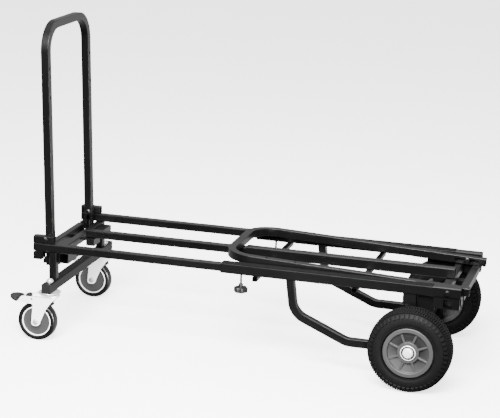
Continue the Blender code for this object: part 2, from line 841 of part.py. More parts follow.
def make_tyre(sign):
    """A tyre with staggered tread bars: the two halves are half a pitch apart."""
    bm = bmesh.new()
    section = tyre_section()
    mirrored = [(radius, -along, groove) for radius, along, groove in reversed(section)]
    turns = []
    for pitch in range(tread_pitches):
        for half_pitch in (0, 1 / 2):
            for offset in (-tread_bar_share / 2, 0, tread_bar_share / 2):
                turns.append(((pitch + half_pitch + offset) / tread_pitches, half_pitch, offset == 0))
    columns = list(section) + mirrored
    rings = []
    for turn, half_pitch, is_groove in turns:
        ring = []
        for radius, along, groove in columns:
            grooved_side = (along > 0) == (half_pitch == 0)
            angle = full_turn * turn
            spoke = radius - groove if is_groove and grooved_side else radius
            ring.append(bm.verts.new((spoke * math.cos(angle), sign * (wheel_y + along),
                                      axle_z + spoke * math.sin(angle))))
        rings.append(ring)
    skin(bm, rings, True)
    return finish(bm, f"rear_tyre_{side_name(sign)}", tyre_rubber, (0, sign * wheel_y, axle_z))


def make_rear_wheels():
    for sign in (-1, 1):
        make_tyre(sign)
        make_hub(sign)


# Casters

def make_king_bolt(sign):
    top = beam_top + seat_gap
    low = fork_top - fork_plate - turn_clearance
    crown = king_head_radius * bolt_crown_share
    profile = ((0, low - king_nut_height), (king_nut_radius, low - king_nut_height),
               (king_nut_radius, low), (king_radius, low), (king_radius, top),
               (king_head_radius, top), (king_head_radius, top + king_head_height / 3),
               (crown, top + king_head_height * king_dome_share), (0, top + king_head_height))
    turned(f"king_bolt_{side_name(sign)}", zinc, profile, (beam_x, sign * caster_y, 0), (0, 0, 1),
           bolt_steps)
    bore = king_radius + bolt_clearance
    ring = ((bore, race_bottom), (race_radius * race_cone_share, race_bottom),
            (race_radius, race_bottom + race_height / 2), (race_radius, race_bottom + race_height),
            (bore, race_bottom + race_height))
    turned(f"swivel_race_{side_name(sign)}", zinc, ring, (beam_x, sign * caster_y, 0), (0, 0, 1),
           wheel_steps, True)


def fork_outline():
    """The side of the fork as (x, z) points in cart places."""
    top = fork_top - weld_depth
    foot_x = caster_x
    foot_z = caster_radius
    points = [(fork_front_x, 0), (fork_front_x, fork_arm_top), (fork_arm_x, fork_arm_top),
              (fork_arm_x, fork_arm_drop - fork_arm_chamfer),
              (fork_arm_x + fork_arm_chamfer, fork_arm_drop), (fork_front_x, fork_arm_drop)]
    points = [(beam_x + x, top - z) for x, z in points]
    steps = wheel_steps // 4
    for step in range(steps + 1):
        angle = math.pi + math.pi * step / steps
        across = fork_foot_radius * math.cos(angle)
        points.append((foot_x + across, foot_z + fork_foot_radius * math.sin(angle)))
    rest = ((fork_slant_x, fork_slant_drop), (fork_rear_x, fork_rear_drop), (fork_rear_x, 0))
    return points + [(beam_x + x, top - z) for x, z in rest]


def make_fork(sign):
    y = sign * caster_y
    plate_low = (beam_x + fork_front_x, y - fork_outer, fork_top - fork_plate)
    plate_high = (beam_x + fork_rear_x, y + fork_outer, fork_top)
    fork = block(f"caster_fork_{side_name(sign)}", zinc, plate_low, plate_high)
    outline = fork_outline()
    for side in (-1, 1):
        low, high = sorted((y + side * fork_inner, y + side * fork_outer))
        wall = prism("wall", zinc, outline, low, high, (beam_x, y, fork_top))
        combine(fork, wall, "UNION")
    drill(fork, (beam_x, y, fork_top), (0, 0, 1), king_radius + turn_clearance, fork_plate * 4)
    drill(fork, (caster_x, y, caster_radius), (0, 1, 0), caster_axle_radius + bolt_clearance,
          fork_outer * 2 + cut_margin)
    drill(fork, (pedal_x, y, pedal_z), (0, 1, 0), pedal_pin_radius + turn_clearance,
          fork_outer * 2 + cut_margin)


def make_caster_wheel(sign):
    place = side_name(sign)
    centre = (caster_x, sign * caster_y, caster_radius)
    half = caster_width / 2
    bore = caster_axle_radius + turn_clearance
    boss = fork_inner - turn_clearance
    web = caster_core_width / 2
    core = ((bore, -boss), (caster_boss_radius, -boss), (caster_boss_radius, -web),
            (caster_core_radius, -web), (caster_core_radius, web), (caster_boss_radius, web),
            (caster_boss_radius, boss), (bore, boss))
    turned(f"caster_core_{place}", core_grey, core, centre, (0, sign, 0), wheel_steps, True)
    inner = caster_core_radius + seat_gap
    outer = caster_ring_radius
    lip = half * caster_ring_share
    ring = ((inner, -lip), (outer, -lip), (outer, lip), (inner, lip))
    turned(f"caster_ring_{place}", ring_white, ring, centre, (0, sign, 0), wheel_steps, True)
    bead = caster_ring_radius + seat_gap
    tread = caster_radius - bead
    crown_shares = list(zip(caster_rise_shares, caster_width_shares))
    near_half = [(bead + tread * up, -half * out) for up, out in crown_shares]
    far_half = [(bead + tread * up, half * out) for up, out in reversed(crown_shares)]
    tyre = [(bead, -half)] + near_half + far_half + [(bead, half)]
    turned(f"caster_tyre_{place}", tyre_rubber, tyre, centre, (0, sign, 0), wheel_steps, True)
    seat = fork_outer + seat_gap
    tip = seat + caster_axle_head_height
    crown = caster_axle_head * bolt_crown_share
    bolt = ((0, -tip), (crown, -tip), (caster_axle_head, -tip + caster_axle_head_height / 2),
            (caster_axle_head, -seat), (caster_axle_radius, -seat), (caster_axle_radius, seat),
            (caster_axle_head, seat), (caster_axle_head, tip - caster_axle_head_height / 2), (crown, tip),
            (0, tip))
    turned(f"caster_axle_{place}", zinc, bolt, centre, (0, sign, 0), bolt_steps)


def make_pedal(sign):
    """The brake rocker: a half round pad in front, a bar between the fork's sides and a spur behind."""
    y = sign * caster_y
    pivot = (pedal_x, y, pedal_z)
    arm_end = fork_arm_x - pedal_pivot_x - pedal_tip_gap
    bar = ((arm_end - weld_depth, pedal_top), (arm_end - weld_depth, pedal_low), (0, pedal_low),
           (pedal_spur_root_x, pedal_low), (pedal_spur_x, pedal_low + pedal_spur_drop),
           (pedal_spur_x, pedal_top), (pedal_lever_back_x, pedal_top), (pedal_lever_back_x, pedal_lever_top),
           (pedal_lever_front_x, pedal_lever_top), (pedal_lever_front_x, pedal_top))
    bar = [(pedal_x + x, pedal_z + z) for x, z in bar]
    pedal = prism(f"brake_pedal_{side_name(sign)}", knob_black, bar, y - pedal_half, y + pedal_half, pivot)
    pad_radius = arm_end - pedal_tip_x
    tip = ((arm_end, pedal_root_top), (arm_end, pedal_root_low), (pedal_tip_x, pedal_tip_low),
           (pedal_tip_x, pedal_tip_top))
    tip = [(pedal_x + x, pedal_z + z) for x, z in tip]
    pad = prism("pad", knob_black, tip, y - pad_radius, y + pad_radius, pivot)
    reach = pad_radius / 2
    disc = ((0, -reach), (pad_radius, -reach), (pad_radius, reach), (0, reach))
    middle = (pedal_x + arm_end, y, pedal_z)
    combine(pad, turned("disc", knob_black, disc, middle, (0, 0, 1), wheel_steps), "INTERSECT")
    combine(pedal, pad, "UNION")
    end = fork_outer + pedal_tip_gap
    ends = ((0, -end), (pedal_pin_radius, -end), (pedal_pin_radius, end), (0, end))
    combine(pedal, turned("pin", knob_black, ends, pivot, (0, 1, 0), bolt_steps), "UNION")


def make_casters():
    for sign in (-1, 1):
        make_king_bolt(sign)
        make_fork(sign)
        make_caster_wheel(sign)
        make_pedal(sign)


clear_scene()
rail_paint = make_material("rail_paint", (0.035, 0.036, 0.038), 0.42, 0.0)
handle_paint = make_material("handle_paint", (0.035, 0.036, 0.038), 0.40, 0.0)
grip_black = make_material("grip_black", (0.03, 0.03, 0.03), 0.9, 0.0)
knob_black = make_material("knob_black", (0.02, 0.02, 0.02), 0.5, 0.0)
dark_bolt = make_material("dark_bolt", (0.06, 0.06, 0.065), 0.35, 0.6)
zinc = make_material("zinc", (0.75, 0.76, 0.77), 0.35, 0.9)
chrome = make_material("chrome", (0.8, 0.8, 0.82), 0.12, 1.0)
hub_grey = make_material("hub_grey", (0.30, 0.30, 0.30), 0.45, 0.0)
core_grey = make_material("core_grey", (0.30, 0.31, 0.32), 0.6, 0.0)
ring_white = make_material("ring_white", (0.85, 0.85, 0.84), 0.5, 0.0)
tyre_rubber = make_material("tyre_rubber", (0.02, 0.02, 0.02), 0.85, 0.0)
cutter_material = make_material("cutter", (1, 0, 0), 0.5, 0.0)

make_rails()
make_inner_rails()
make_cross_tubes()
make_knobs()
make_handles()
make_front_end()
make_back_end()
make_struts()
make_wheel_posts()
make_axle()
make_rear_wheels()
make_casters()
bpy.data.materials.remove(cutter_material)
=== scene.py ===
import math

import bmesh
import bpy
from mathutils import Matrix, Vector


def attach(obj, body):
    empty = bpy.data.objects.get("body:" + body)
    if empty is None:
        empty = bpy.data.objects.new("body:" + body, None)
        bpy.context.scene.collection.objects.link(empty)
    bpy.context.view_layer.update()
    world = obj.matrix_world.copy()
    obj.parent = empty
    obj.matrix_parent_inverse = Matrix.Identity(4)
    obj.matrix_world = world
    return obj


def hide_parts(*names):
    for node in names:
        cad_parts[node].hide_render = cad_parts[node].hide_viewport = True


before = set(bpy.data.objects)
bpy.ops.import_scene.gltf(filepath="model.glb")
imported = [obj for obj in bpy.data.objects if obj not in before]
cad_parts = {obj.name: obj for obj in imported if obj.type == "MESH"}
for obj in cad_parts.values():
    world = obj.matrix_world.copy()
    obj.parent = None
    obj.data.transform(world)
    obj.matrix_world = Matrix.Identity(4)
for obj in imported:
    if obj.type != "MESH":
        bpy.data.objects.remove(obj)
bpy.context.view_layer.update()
sides = {"near": -1, "far": 1}
hair = 0.0001                                  # how near a point must lie to be picked
weldWithin = 0.000005                          # how near two points must lie to become one
endWithin = 0.001                              # how near a face must lie to the end of a tube
acrossY = Vector((0, 1, 0))
upZ = Vector((0, 0, 1))
alongX = Vector((1, 0, 0))

# Camera, floor and light

cameraView = {"place": (1.424552, -5.1887, 1.8310), "azimuth": 15.48, "elevation": 14.47,
              "roll": 1.89, "lens": 123.523, "sensor": 36.0}


def addCamera(view):
    azimuth, elevation, roll = (math.radians(view[key]) for key in ("azimuth", "elevation", "roll"))
    right = Vector((math.cos(azimuth), math.sin(azimuth), 0))
    ahead = Vector((-math.sin(azimuth) * math.cos(elevation),
                    math.cos(azimuth) * math.cos(elevation), -math.sin(elevation)))
    up = right.cross(ahead)
    rolledRight = right * math.cos(roll) + up * math.sin(roll)
    rolledUp = up * math.cos(roll) - right * math.sin(roll)
    lens = bpy.data.cameras.new("camera")
    lens.sensor_fit = "HORIZONTAL"
    lens.sensor_width = view["sensor"]
    lens.lens = view["lens"]
    lens.clip_end = 100
    camera = bpy.data.objects.new("camera", lens)
    bpy.context.scene.collection.objects.link(camera)
    turn = Matrix((rolledRight, rolledUp, -ahead)).transposed()
    camera.matrix_world = Matrix.Translation(view["place"]) @ turn.to_4x4()
    bpy.context.scene.camera = camera


# How bright the surroundings are: dark in front, light behind, brightest from the floor
studio = {"frontToBack": (-0.75, 0.75), "front": 0.02, "behind": 0.55,
          "lowToHigh": (-0.12, 0.08), "below": 2.1, "above": 1.0}


def addSurroundings():
    world = bpy.data.worlds.new("studio")
    world.use_nodes = True
    tree = world.node_tree
    direction = tree.nodes.new("ShaderNodeTexCoord")
    split = tree.nodes.new("ShaderNodeSeparateXYZ")
    tree.links.new(direction.outputs["Generated"], split.inputs["Vector"])
    strength = tree.nodes.new("ShaderNodeMath")
    strength.operation = "MULTIPLY"
    fades = (("Y", *studio["frontToBack"], studio["front"], studio["behind"]),
             ("Z", *studio["lowToHigh"], studio["below"], studio["above"]))
    for slot, (axis, *limits) in enumerate(fades):
        fade = tree.nodes.new("ShaderNodeMapRange")
        for key, value in zip(("From Min", "From Max", "To Min", "To Max"), limits):
            fade.inputs[key].default_value = value
        tree.links.new(split.outputs[axis], fade.inputs["Value"])
        tree.links.new(fade.outputs["Result"], strength.inputs[slot])
    tree.links.new(strength.outputs[0], tree.nodes["Background"].inputs["Strength"])
    tree.nodes["Background"].inputs["Color"].default_value = (1, 1, 1, 1)
    bpy.context.scene.world = world


# Name, place, aim, size, power and how far the light fans out in degrees
lamps = [("keyLight", (0.4, -3.8, 3.8), (0, 0, 0.3), 3.0, 1900, 180),
         ("overhead", (0.2, 0.6, 3.6), (0, 0, 0), 3.0, 160, 180),
         ("casterFill", (1.2, -2.6, 0.25), (-0.66, 0.2, 0.05), 0.3, 12, 40)]


def addLamps():
    for name, place, aim, size, power, spread in lamps:
        lamp = bpy.data.lights.new(name, "AREA")
        lamp.size = size
        lamp.energy = power
        lamp.spread = math.radians(spread)
        holder = bpy.data.objects.new(name, lamp)
        bpy.context.scene.collection.objects.link(holder)
        holder.location = place
        holder.rotation_euler = (Vector(aim) - Vector(place)).to_track_quat("-Z", "Y").to_euler()


floorPaper = {"size": 40, "colour": (0.86, 0.86, 0.86, 1), "rough": 0.95, "glow": 2.6}


def addFloor():
    floor = addPrimitive("floor", "plane", size=floorPaper["size"], location=(0, 0, 0))
    paper = bpy.data.materials.new("floorPaper")
    paper.use_nodes = True
    shader = paper.node_tree.nodes["Principled BSDF"]
    shader.inputs["Base Color"].default_value = floorPaper["colour"]
    shader.inputs["Roughness"].default_value = floorPaper["rough"]
    shader.inputs["Specular IOR Level"].default_value = 0.0
    shader.inputs["Emission Color"].default_value = (1, 1, 1, 1)
    shader.inputs["Emission Strength"].default_value = floorPaper["glow"]
    floor.data.materials.append(paper)
    floor.visible_glossy = False                # the dark paint mirrors the plain studio instead
    floor.visible_diffuse = False


# Modelling by hand, one small tool each

def clearPicks():
    if bpy.context.object and bpy.context.object.mode != "OBJECT":
        bpy.ops.object.mode_set(mode="OBJECT")
    bpy.ops.object.select_all(action="DESELECT")


def takeUp(*pieces):
    clearPicks()
    for piece in pieces:
        piece.select_set(True)
    bpy.context.view_layer.objects.active = pieces[0]


def addPrimitive(name, kind, **how):
    clearPicks()
    getattr(bpy.ops.mesh, f"primitive_{kind}_add")(**how)
    piece = bpy.context.object
    piece.name = name
    piece.data.name = name
    bpy.ops.object.transform_apply(location=True, rotation=True, scale=True)
    return piece


def editAll(piece):
    takeUp(piece)
    bpy.ops.object.mode_set(mode="EDIT")
    bpy.ops.mesh.select_all(action="SELECT")


def pick(piece, kind, test):
    if piece.mode != "EDIT":
        editAll(piece)
    bpy.ops.mesh.select_mode(type=kind)
    bpy.ops.mesh.select_all(action="DESELECT")
    shape = bmesh.from_edit_mesh(piece.data)
    parts = {"VERT": shape.verts, "EDGE": shape.edges, "FACE": shape.faces}[kind]
    for part in parts:
        if test(part):
            part.select_set(True)
    shape.select_flush_mode()
    bmesh.update_edit_mesh(piece.data)


def edgeMiddle(edge):
    return (edge.verts[0].co + edge.verts[1].co) / 2


def edgeRuns(edge, axis, least=0.99):
    return abs((edge.verts[1].co - edge.verts[0].co).normalized().dot(axis)) > least


def faceLooks(face, axis, least=0.9):
    return face.normal.dot(axis) > least


def closeUp(piece, smooth=35):
    if piece.mode != "EDIT":
        editAll(piece)
    bpy.ops.mesh.select_mode(type="VERT")
    bpy.ops.mesh.select_all(action="SELECT")
    bpy.ops.mesh.remove_doubles(threshold=weldWithin)
    bpy.ops.mesh.normals_make_consistent(inside=False)
    takeUp(piece)
    bpy.ops.object.shade_smooth_by_angle(angle=math.radians(smooth))
    return piece


def applyModifier(piece, name, kind, **settings):
    takeUp(piece)
    modifier = piece.modifiers.new(name, kind)
    for key, value in settings.items():
        setattr(modifier, key, value)
    bpy.ops.object.modifier_apply(modifier=name)


def roundEdges(piece, width, segments=2, limit=35):
    applyModifier(piece, "rounding", "BEVEL", width=width, segments=segments, limit_method="ANGLE",
                  angle_limit=math.radians(limit))
    bpy.ops.object.shade_smooth_by_angle(angle=math.radians(limit))
    return piece


def cutWith(piece, cutter):
    applyModifier(piece, "cut", "BOOLEAN", operation="DIFFERENCE", solver="EXACT", object=cutter)
    bpy.data.objects.remove(cutter, do_unlink=True)


def joinPieces(pieces, name):
    takeUp(*pieces)
    bpy.ops.object.join()
    joined = bpy.context.object
    joined.name = name
    joined.data.name = name
    return joined


def copyPiece(piece, name, shift=(0, 0, 0), turn=0):
    takeUp(piece)
    bpy.ops.object.duplicate(linked=False)
    twin = bpy.context.object
    twin.name = name
    twin.data.name = name
    twin.matrix_world = Matrix.Translation(shift) @ Matrix.Rotation(turn, 4, "Z")
    bpy.ops.object.transform_apply(location=True, rotation=True, scale=True)
    return twin


def placePiece(piece, matrix):
    takeUp(piece)
    piece.matrix_world = matrix
    bpy.ops.object.transform_apply(location=True, rotation=True, scale=True)


def drawChain(name, places):                    # a small square, merged into one point and drawn on
    piece = addPrimitive(name, "plane", size=0.0005, location=places[0])
    editAll(piece)
    bpy.ops.mesh.select_mode(type="VERT")
    bpy.ops.mesh.merge(type="CENTER")
    for before, after in zip(places, places[1:]):
        bpy.ops.mesh.extrude_vertices_move(TRANSFORM_OT_translate={"value": after - before})
    return piece


def closeChain(piece):
    shape = bmesh.from_edit_mesh(piece.data)
    ends = [vertex for vertex in shape.verts if len(vertex.link_edges) == 1]
    bpy.ops.mesh.select_all(action="DESELECT")
    for vertex in ends:
        vertex.select_set(True)
    bmesh.update_edit_mesh(piece.data)
    bpy.ops.mesh.edge_face_add()


def turnPiece(name, points, centre, axis, spoke, steps=96, closed=False):
    places = [Vector(centre) + axis * along + spoke * radius for radius, along in points]
    piece = drawChain(name, places)
    if closed:
        closeChain(piece)
    bpy.ops.mesh.select_all(action="SELECT")
    bpy.ops.mesh.spin(steps=steps, angle=2 * math.pi, center=centre, axis=axis)
    return closeUp(piece)


def drawPlate(name, outline, lowY, thick):
    piece = drawChain(name, [Vector((x, lowY, z)) for x, z in outline])
    closeChain(piece)
    bpy.ops.mesh.select_all(action="SELECT")
    bpy.ops.mesh.edge_face_add()
    bpy.ops.mesh.extrude_region_move(TRANSFORM_OT_translate={"value": (0, thick, 0)})
    return closeUp(piece)


def boxPiece(name, low, high):
    low, high = Vector(low), Vector(high)
    piece = addPrimitive(name, "cube", size=1, location=(0, 0, 0))
    placePiece(piece, Matrix.Translation((low + high) / 2) @ Matrix.Diagonal((*(high - low), 1)))
    return piece


def tubeAlong(name, size, corners, facing=None):
    corners = [Vector(corner) for corner in corners]
    face = facing or (corners[1] - corners[0])
    piece = addPrimitive(name, "plane", size=size["side"], location=corners[0],
                         rotation=face.to_track_quat("Z", "Y").to_euler())
    editAll(piece)
    bpy.ops.mesh.bevel(offset=size["corner"], segments=4, affect="VERTICES")
    bpy.ops.mesh.select_all(action="SELECT")
    last = corners[0]
    for before, corner, after in zip(corners, corners[1:], corners[2:]):
        entry = (corner - before).normalized()
        leave = (after - corner).normalized()
        turn = entry.angle(leave)
        cut = size["bend"] * math.tan(turn / 2)
        axis = entry.cross(leave).normalized()
        arrive = corner - entry * cut
        middle = arrive + axis.cross(entry) * size["bend"]
        bpy.ops.mesh.extrude_region_move(TRANSFORM_OT_translate={"value": arrive - last})
        bpy.ops.mesh.spin(steps=size["steps"], angle=turn, center=middle, axis=-axis)
        last = corner + leave * cut
    bpy.ops.mesh.extrude_region_move(TRANSFORM_OT_translate={"value": corners[-1] - last})
    ends = (corners[0], corners[-1])
    pick(piece, "FACE", lambda face: len(face.verts) > 6 and any(
        (face.calc_center_median() - end).length < endWithin for end in ends))
    bpy.ops.mesh.delete(type="ONLY_FACE")
    closeUp(piece)
    applyModifier(piece, "wall", "SOLIDIFY", thickness=size["wall"], offset=-1, use_even_offset=True)
    return closeUp(piece)


# Shader maths

class Link:                                    # one socket, with sums written as in Python
    def __init__(self, finish, socket):
        self.finish = finish
        self.socket = socket

    def sum(self, operation, first, second):
        return self.finish.add("ShaderNodeMath", {"operation": operation}, {0: first, 1: second})

    def __add__(self, other):
        return self.sum("ADD", self, other)

    def __radd__(self, other):
        return self.sum("ADD", other, self)

    def __sub__(self, other):
        return self.sum("SUBTRACT", self, other)

    def __rsub__(self, other):
        return self.sum("SUBTRACT", other, self)

    def __mul__(self, other):
        return self.sum("MULTIPLY", self, other)

    def __rmul__(self, other):
        return self.sum("MULTIPLY", other, self)


class Finish:
    def __init__(self, name, **constants):
        self.material = bpy.data.materials.new(name)
        self.material.use_nodes = True
        self.tree = self.material.node_tree
        self.shader = self.tree.nodes["Principled BSDF"]
        for key, value in constants.items():
            self.shader.inputs[key.replace("_", " ")].default_value = value
        self.place = self.add("ShaderNodeTexCoord", {}, {}, "Object")

    def add(self, kind, settings, values, output=0):
        node = self.tree.nodes.new(kind)
        for key, value in settings.items():
            if key == "stops":
                for element, (position, shade) in zip(node.color_ramp.elements, value):
                    element.position = position
                    element.color = (shade, shade, shade, 1)
            else:
                setattr(node, key, value)
        for key, value in values.items():
            if isinstance(value, Link):
                self.tree.links.new(value.socket, node.inputs[key])
            else:
                node.inputs[key].default_value = value
        return Link(self, node.outputs[output])

    def noise(self, scale, detail, rough=0.5):
        return self.add("ShaderNodeTexNoise", {}, {"Vector": self.place, "Scale": scale,
                                                   "Detail": detail, "Roughness": rough}, "Fac")

    def between(self, value, low, high):
        return self.add("ShaderNodeMapRange", {"interpolation_type": "SMOOTHSTEP"},
                        {"Value": value, "From Min": low, "From Max": high}, "Result")

    def lengthFrom(self, centre, axes):
        middle = self.add("ShaderNodeVectorMath", {"operation": "SUBTRACT"}, {0: self.place, 1: centre})
        part = self.add("ShaderNodeVectorMath", {"operation": "MULTIPLY"}, {0: middle, 1: axes})
        return self.add("ShaderNodeVectorMath", {"operation": "LENGTH"}, {0: part}, "Value")

    def radiusFrom(self, centre):
        return self.lengthFrom(centre, (1, 0, 1))

    def depthFrom(self, centre):
        return self.lengthFrom(centre, (0, 1, 0))

    def ramp(self, value, low, high):
        return self.add("ShaderNodeValToRGB", {"stops": ((low, 0.0), (high, 1.0))}, {"Fac": value}, "Color")

    def blend(self, share, first, second):
        return self.add("ShaderNodeMix", {"data_type": "RGBA"}, {0: share, 6: first, 7: second}, 2)

    def bump(self, height, strength, distance):
        return self.add("ShaderNodeBump", {}, {"Height": height, "Strength": strength,
                                               "Distance": distance}, "Normal")

    def use(self, **links):
        for key, link in links.items():
            self.tree.links.new(link.socket, self.shader.inputs[key.replace("_", " ")])
        return self.material


def grey(level, warm=0.0):
    return (level * (1 + warm), level, level * (1 - warm), 1)


# A noise is its scale, detail and roughness, a ramp its two stops, a bump its strength and distance
powderCoatLook = {"dark": 0.0006, "light": 0.0013, "scuff": 0.0060, "rough": 0.29, "gloss": 0.38,
                  "cloudNoise": (7.0, 3.0), "cloudRough": 0.08, "grainNoise": (1500, 2.0),
                  "scuffNoise": (95.0, 8.0, 0.72), "scuffRamp": (0.66, 0.78), "scuffShare": 0.5,
                  "scuffRough": 0.16, "scuffHeight": 0.4, "bump": (0.22, 0.0003)}
handlePaintLook = powderCoatLook | {"grainNoise": (1800, 2.0)}
beamPaintLook = powderCoatLook | {"grainNoise": (900, 2.0), "rough": 0.40, "gloss": 0.20}


def makePowderCoat(name, look):
    finish = Finish(name, Specular_IOR_Level=look["gloss"])
    cloud = finish.noise(*look["cloudNoise"])
    grain = finish.noise(*look["grainNoise"])
    scuff = finish.ramp(finish.noise(*look["scuffNoise"]), *look["scuffRamp"])
    colour = finish.blend(cloud, grey(look["dark"]), grey(look["light"]))
    colour = finish.blend(scuff * look["scuffShare"], colour, grey(look["scuff"]))
    rough = look["rough"] + cloud * look["cloudRough"] + scuff * look["scuffRough"]
    return finish.use(Base_Color=colour, Roughness=rough,
                      Normal=finish.bump(grain + scuff * look["scuffHeight"], *look["bump"]))


tyreLook = {"dark": 0.0010, "light": 0.0022, "dust": 0.0065, "dustWarmth": 0.03, "worn": 0.0045,
            "rough": 0.58, "cloudRough": 0.14, "gloss": 0.12, "cloudNoise": (22.0, 5.0, 0.6),
            "grainNoise": (900.0, 2.0), "grainHeight": 0.5, "rings": 1500.0, "ringHeight": 0.35,
            "dustNoise": (60.0, 9.0, 0.7), "dustRamp": (0.5, 0.75), "dustShare": 0.35,
            "wornNoise": (150.0, 3.0), "wornRamp": (0.35, 0.70), "wornShares": (0.2, 0.8),
            "bump": (0.35, 0.0006)}
casterTyreLook = tyreLook | {"rough": 0.26, "gloss": 0.5, "rings": 2200.0}


def makeRubber(name, look, centre):
    finish = Finish(name, Specular_IOR_Level=look["gloss"])
    cloud = finish.noise(*look["cloudNoise"])
    grain = finish.noise(*look["grainNoise"])
    dust = finish.ramp(finish.noise(*look["dustNoise"]), *look["dustRamp"])
    colour = finish.blend(cloud, grey(look["dark"]), grey(look["light"]))
    colour = finish.blend(dust * look["dustShare"], colour, grey(look["dust"], look["dustWarmth"]))
    rings = finish.radiusFrom(centre) * look["rings"]
    wave = finish.add("ShaderNodeMath", {"operation": "SINE"}, {0: rings})
    height = grain * look["grainHeight"] + wave * look["ringHeight"]
    tops = finish.add("ShaderNodeAttribute", {"attribute_name": "worn"}, {}, "Fac")
    patches = finish.ramp(finish.noise(*look["wornNoise"]), *look["wornRamp"])
    least, extra = look["wornShares"]
    worn = tops * (patches * extra + least)
    colour = finish.blend(worn, colour, grey(look["worn"]))
    return finish.use(Base_Color=colour, Roughness=look["rough"] + cloud * look["cloudRough"],
                      Normal=finish.bump(height, *look["bump"]))


plasticLook = {"cloudNoise": (18.0, 4.0), "cloudLevels": (0.92, 1.08), "cloudRough": 0.08,
               "grain": 700.0, "grainDetail": 3.0, "markNoise": (140.0, 8.0, 0.75),
               "markRamp": (0.62, 0.80), "markLevel": 0.8, "markShare": 0.4, "markRough": 0.1,
               "bump": (0.12, 0.0004)}
blackPlasticLook = plasticLook | {"level": 0.0035, "rough": 0.42}
corePlasticLook = plasticLook | {"level": 0.025, "rough": 0.46, "grain": 600.0}
ringPlasticLook = plasticLook | {"level": 0.92, "rough": 0.40, "grain": 800.0, "bump": (0.06, 0.0004)}


def makePlastic(name, look):
    finish = Finish(name)
    cloud = finish.noise(*look["cloudNoise"])
    fine = finish.noise(look["grain"], look["grainDetail"])
    mark = finish.ramp(finish.noise(*look["markNoise"]), *look["markRamp"])
    dark, light = (look["level"] * share for share in look["cloudLevels"])
    colour = finish.blend(cloud, grey(dark), grey(light))
    colour = finish.blend(mark * look["markShare"], colour, grey(look["level"] * look["markLevel"]))
    rough = look["rough"] + cloud * look["cloudRough"] + mark * look["markRough"]
    return finish.use(Base_Color=colour, Roughness=rough, Normal=finish.bump(fine, *look["bump"]))


# The hub pockets get painted shade: below the face they are darker than the rim colour, darkest by the boss
# and lighter towards the rim
hubLook = {"rim": 0.036, "pocketShade": 0.009, "pocketShadeOuter": 0.019, "shadeFadeFrom": 0.037, "shadeFadeTo": 0.065,
           "fullShadeDepth": 0.0345, "unshadedDepth": 0.0380, "rough": 0.40, "cloudNoise": (18.0, 4.0),
           "cloudShare": 0.25, "cloudLevel": 0.7, "cloudRough": 0.08, "grainNoise": (500.0, 3.0),
           "scuffNoise": (140.0, 8.0, 0.75), "scuffRamp": (0.62, 0.80), "scuffShare": 0.3,
           "scuffRough": 0.1, "bump": (0.10, 0.0004)}


def makeHubPlastic(name, look, centre):
    finish = Finish(name)
    cloud = finish.noise(*look["cloudNoise"])
    fine = finish.noise(*look["grainNoise"])
    scuff = finish.ramp(finish.noise(*look["scuffNoise"]), *look["scuffRamp"])
    # Painted shade: the colour darkens with depth into the pockets and darkens further towards the boss
    face = finish.between(finish.depthFrom(centre), look["fullShadeDepth"], look["unshadedDepth"])
    shadeFade = finish.between(finish.radiusFrom(centre), look["shadeFadeFrom"], look["shadeFadeTo"])
    pocketShade = finish.blend(shadeFade, grey(look["pocketShade"]), grey(look["pocketShadeOuter"]))
    colour = finish.blend(face, pocketShade, grey(look["rim"]))
    colour = finish.blend(cloud * look["cloudShare"], colour, grey(look["rim"] * look["cloudLevel"]))
    # Scuffs are real marks; they take the darkest painted pocket-shade level as their colour
    colour = finish.blend(scuff * look["scuffShare"], colour, grey(look["pocketShade"]))
    rough = look["rough"] + cloud * look["cloudRough"] + scuff * look["scuffRough"]
    return finish.use(Base_Color=colour, Roughness=rough, Normal=finish.bump(fine, *look["bump"]))


metalLook = {"cloudNoise": (45.0, 6.0, 0.65), "darkSide": (0.9, 0.006), "lightSide": (1.06, -0.006),
             "cloudRough": 0.1, "spangleNoise": (420.0, 3.0), "stainNoise": (26.0, 8.0, 0.7),
             "stainRamp": (0.55, 0.8), "stainSide": (0.72, 0.02), "stainShare": 0.25,
             "stainRough": 0.1, "stainDulls": 0.1, "bump": (0.06, 0.0003)}
blackBoltLook = metalLook | {"level": 0.007, "rough": 0.36, "metal": 0.3}
zincPlateLook = metalLook | {"level": 0.95, "rough": 0.34, "metal": 0.15}
nutSteelLook = metalLook | {"level": 0.62, "rough": 0.20, "metal": 0.62}
chromePlateLook = metalLook | {"level": 0.96, "rough": 0.12, "metal": 0.30}


def makeMetal(name, look):
    def tone(side):
        share, warmth = look[side]
        return grey(look["level"] * share, warmth)

    finish = Finish(name)
    cloud = finish.noise(*look["cloudNoise"])
    spangle = finish.noise(*look["spangleNoise"])
    stain = finish.ramp(finish.noise(*look["stainNoise"]), *look["stainRamp"])
    colour = finish.blend(cloud, tone("darkSide"), tone("lightSide"))
    colour = finish.blend(stain * look["stainShare"], colour, tone("stainSide"))
    rough = look["rough"] + cloud * look["cloudRough"] + stain * look["stainRough"]
    metal = look["metal"] - stain * look["stainDulls"]
    return finish.use(Base_Color=colour, Roughness=rough, Metallic=metal,
                      Normal=finish.bump(spangle, *look["bump"]))


gripLook = {"dark": 0.0008, "light": 0.0062, "gloss": 0.12, "rough": 0.82, "toneRough": 0.15,
            "gritScale": 900.0, "lumpNoise": (420.0, 6.0, 0.7), "lumpRamp": (0.42, 0.72),
            "lumpHeight": 1.5, "bump": (0.9, 0.0009)}


def makeGrip(name, look):
    finish = Finish(name, Specular_IOR_Level=look["gloss"])
    grit = finish.add("ShaderNodeTexVoronoi", {"feature": "F1"},
                      {"Vector": finish.place, "Scale": look["gritScale"]}, "Distance")
    lump = finish.noise(*look["lumpNoise"])
    tone = finish.ramp(lump, *look["lumpRamp"])
    colour = finish.blend(tone, grey(look["dark"]), grey(look["light"]))
    return finish.use(Base_Color=colour, Roughness=look["rough"] + tone * look["toneRough"],
                      Normal=finish.bump(grit + lump * look["lumpHeight"], *look["bump"]))


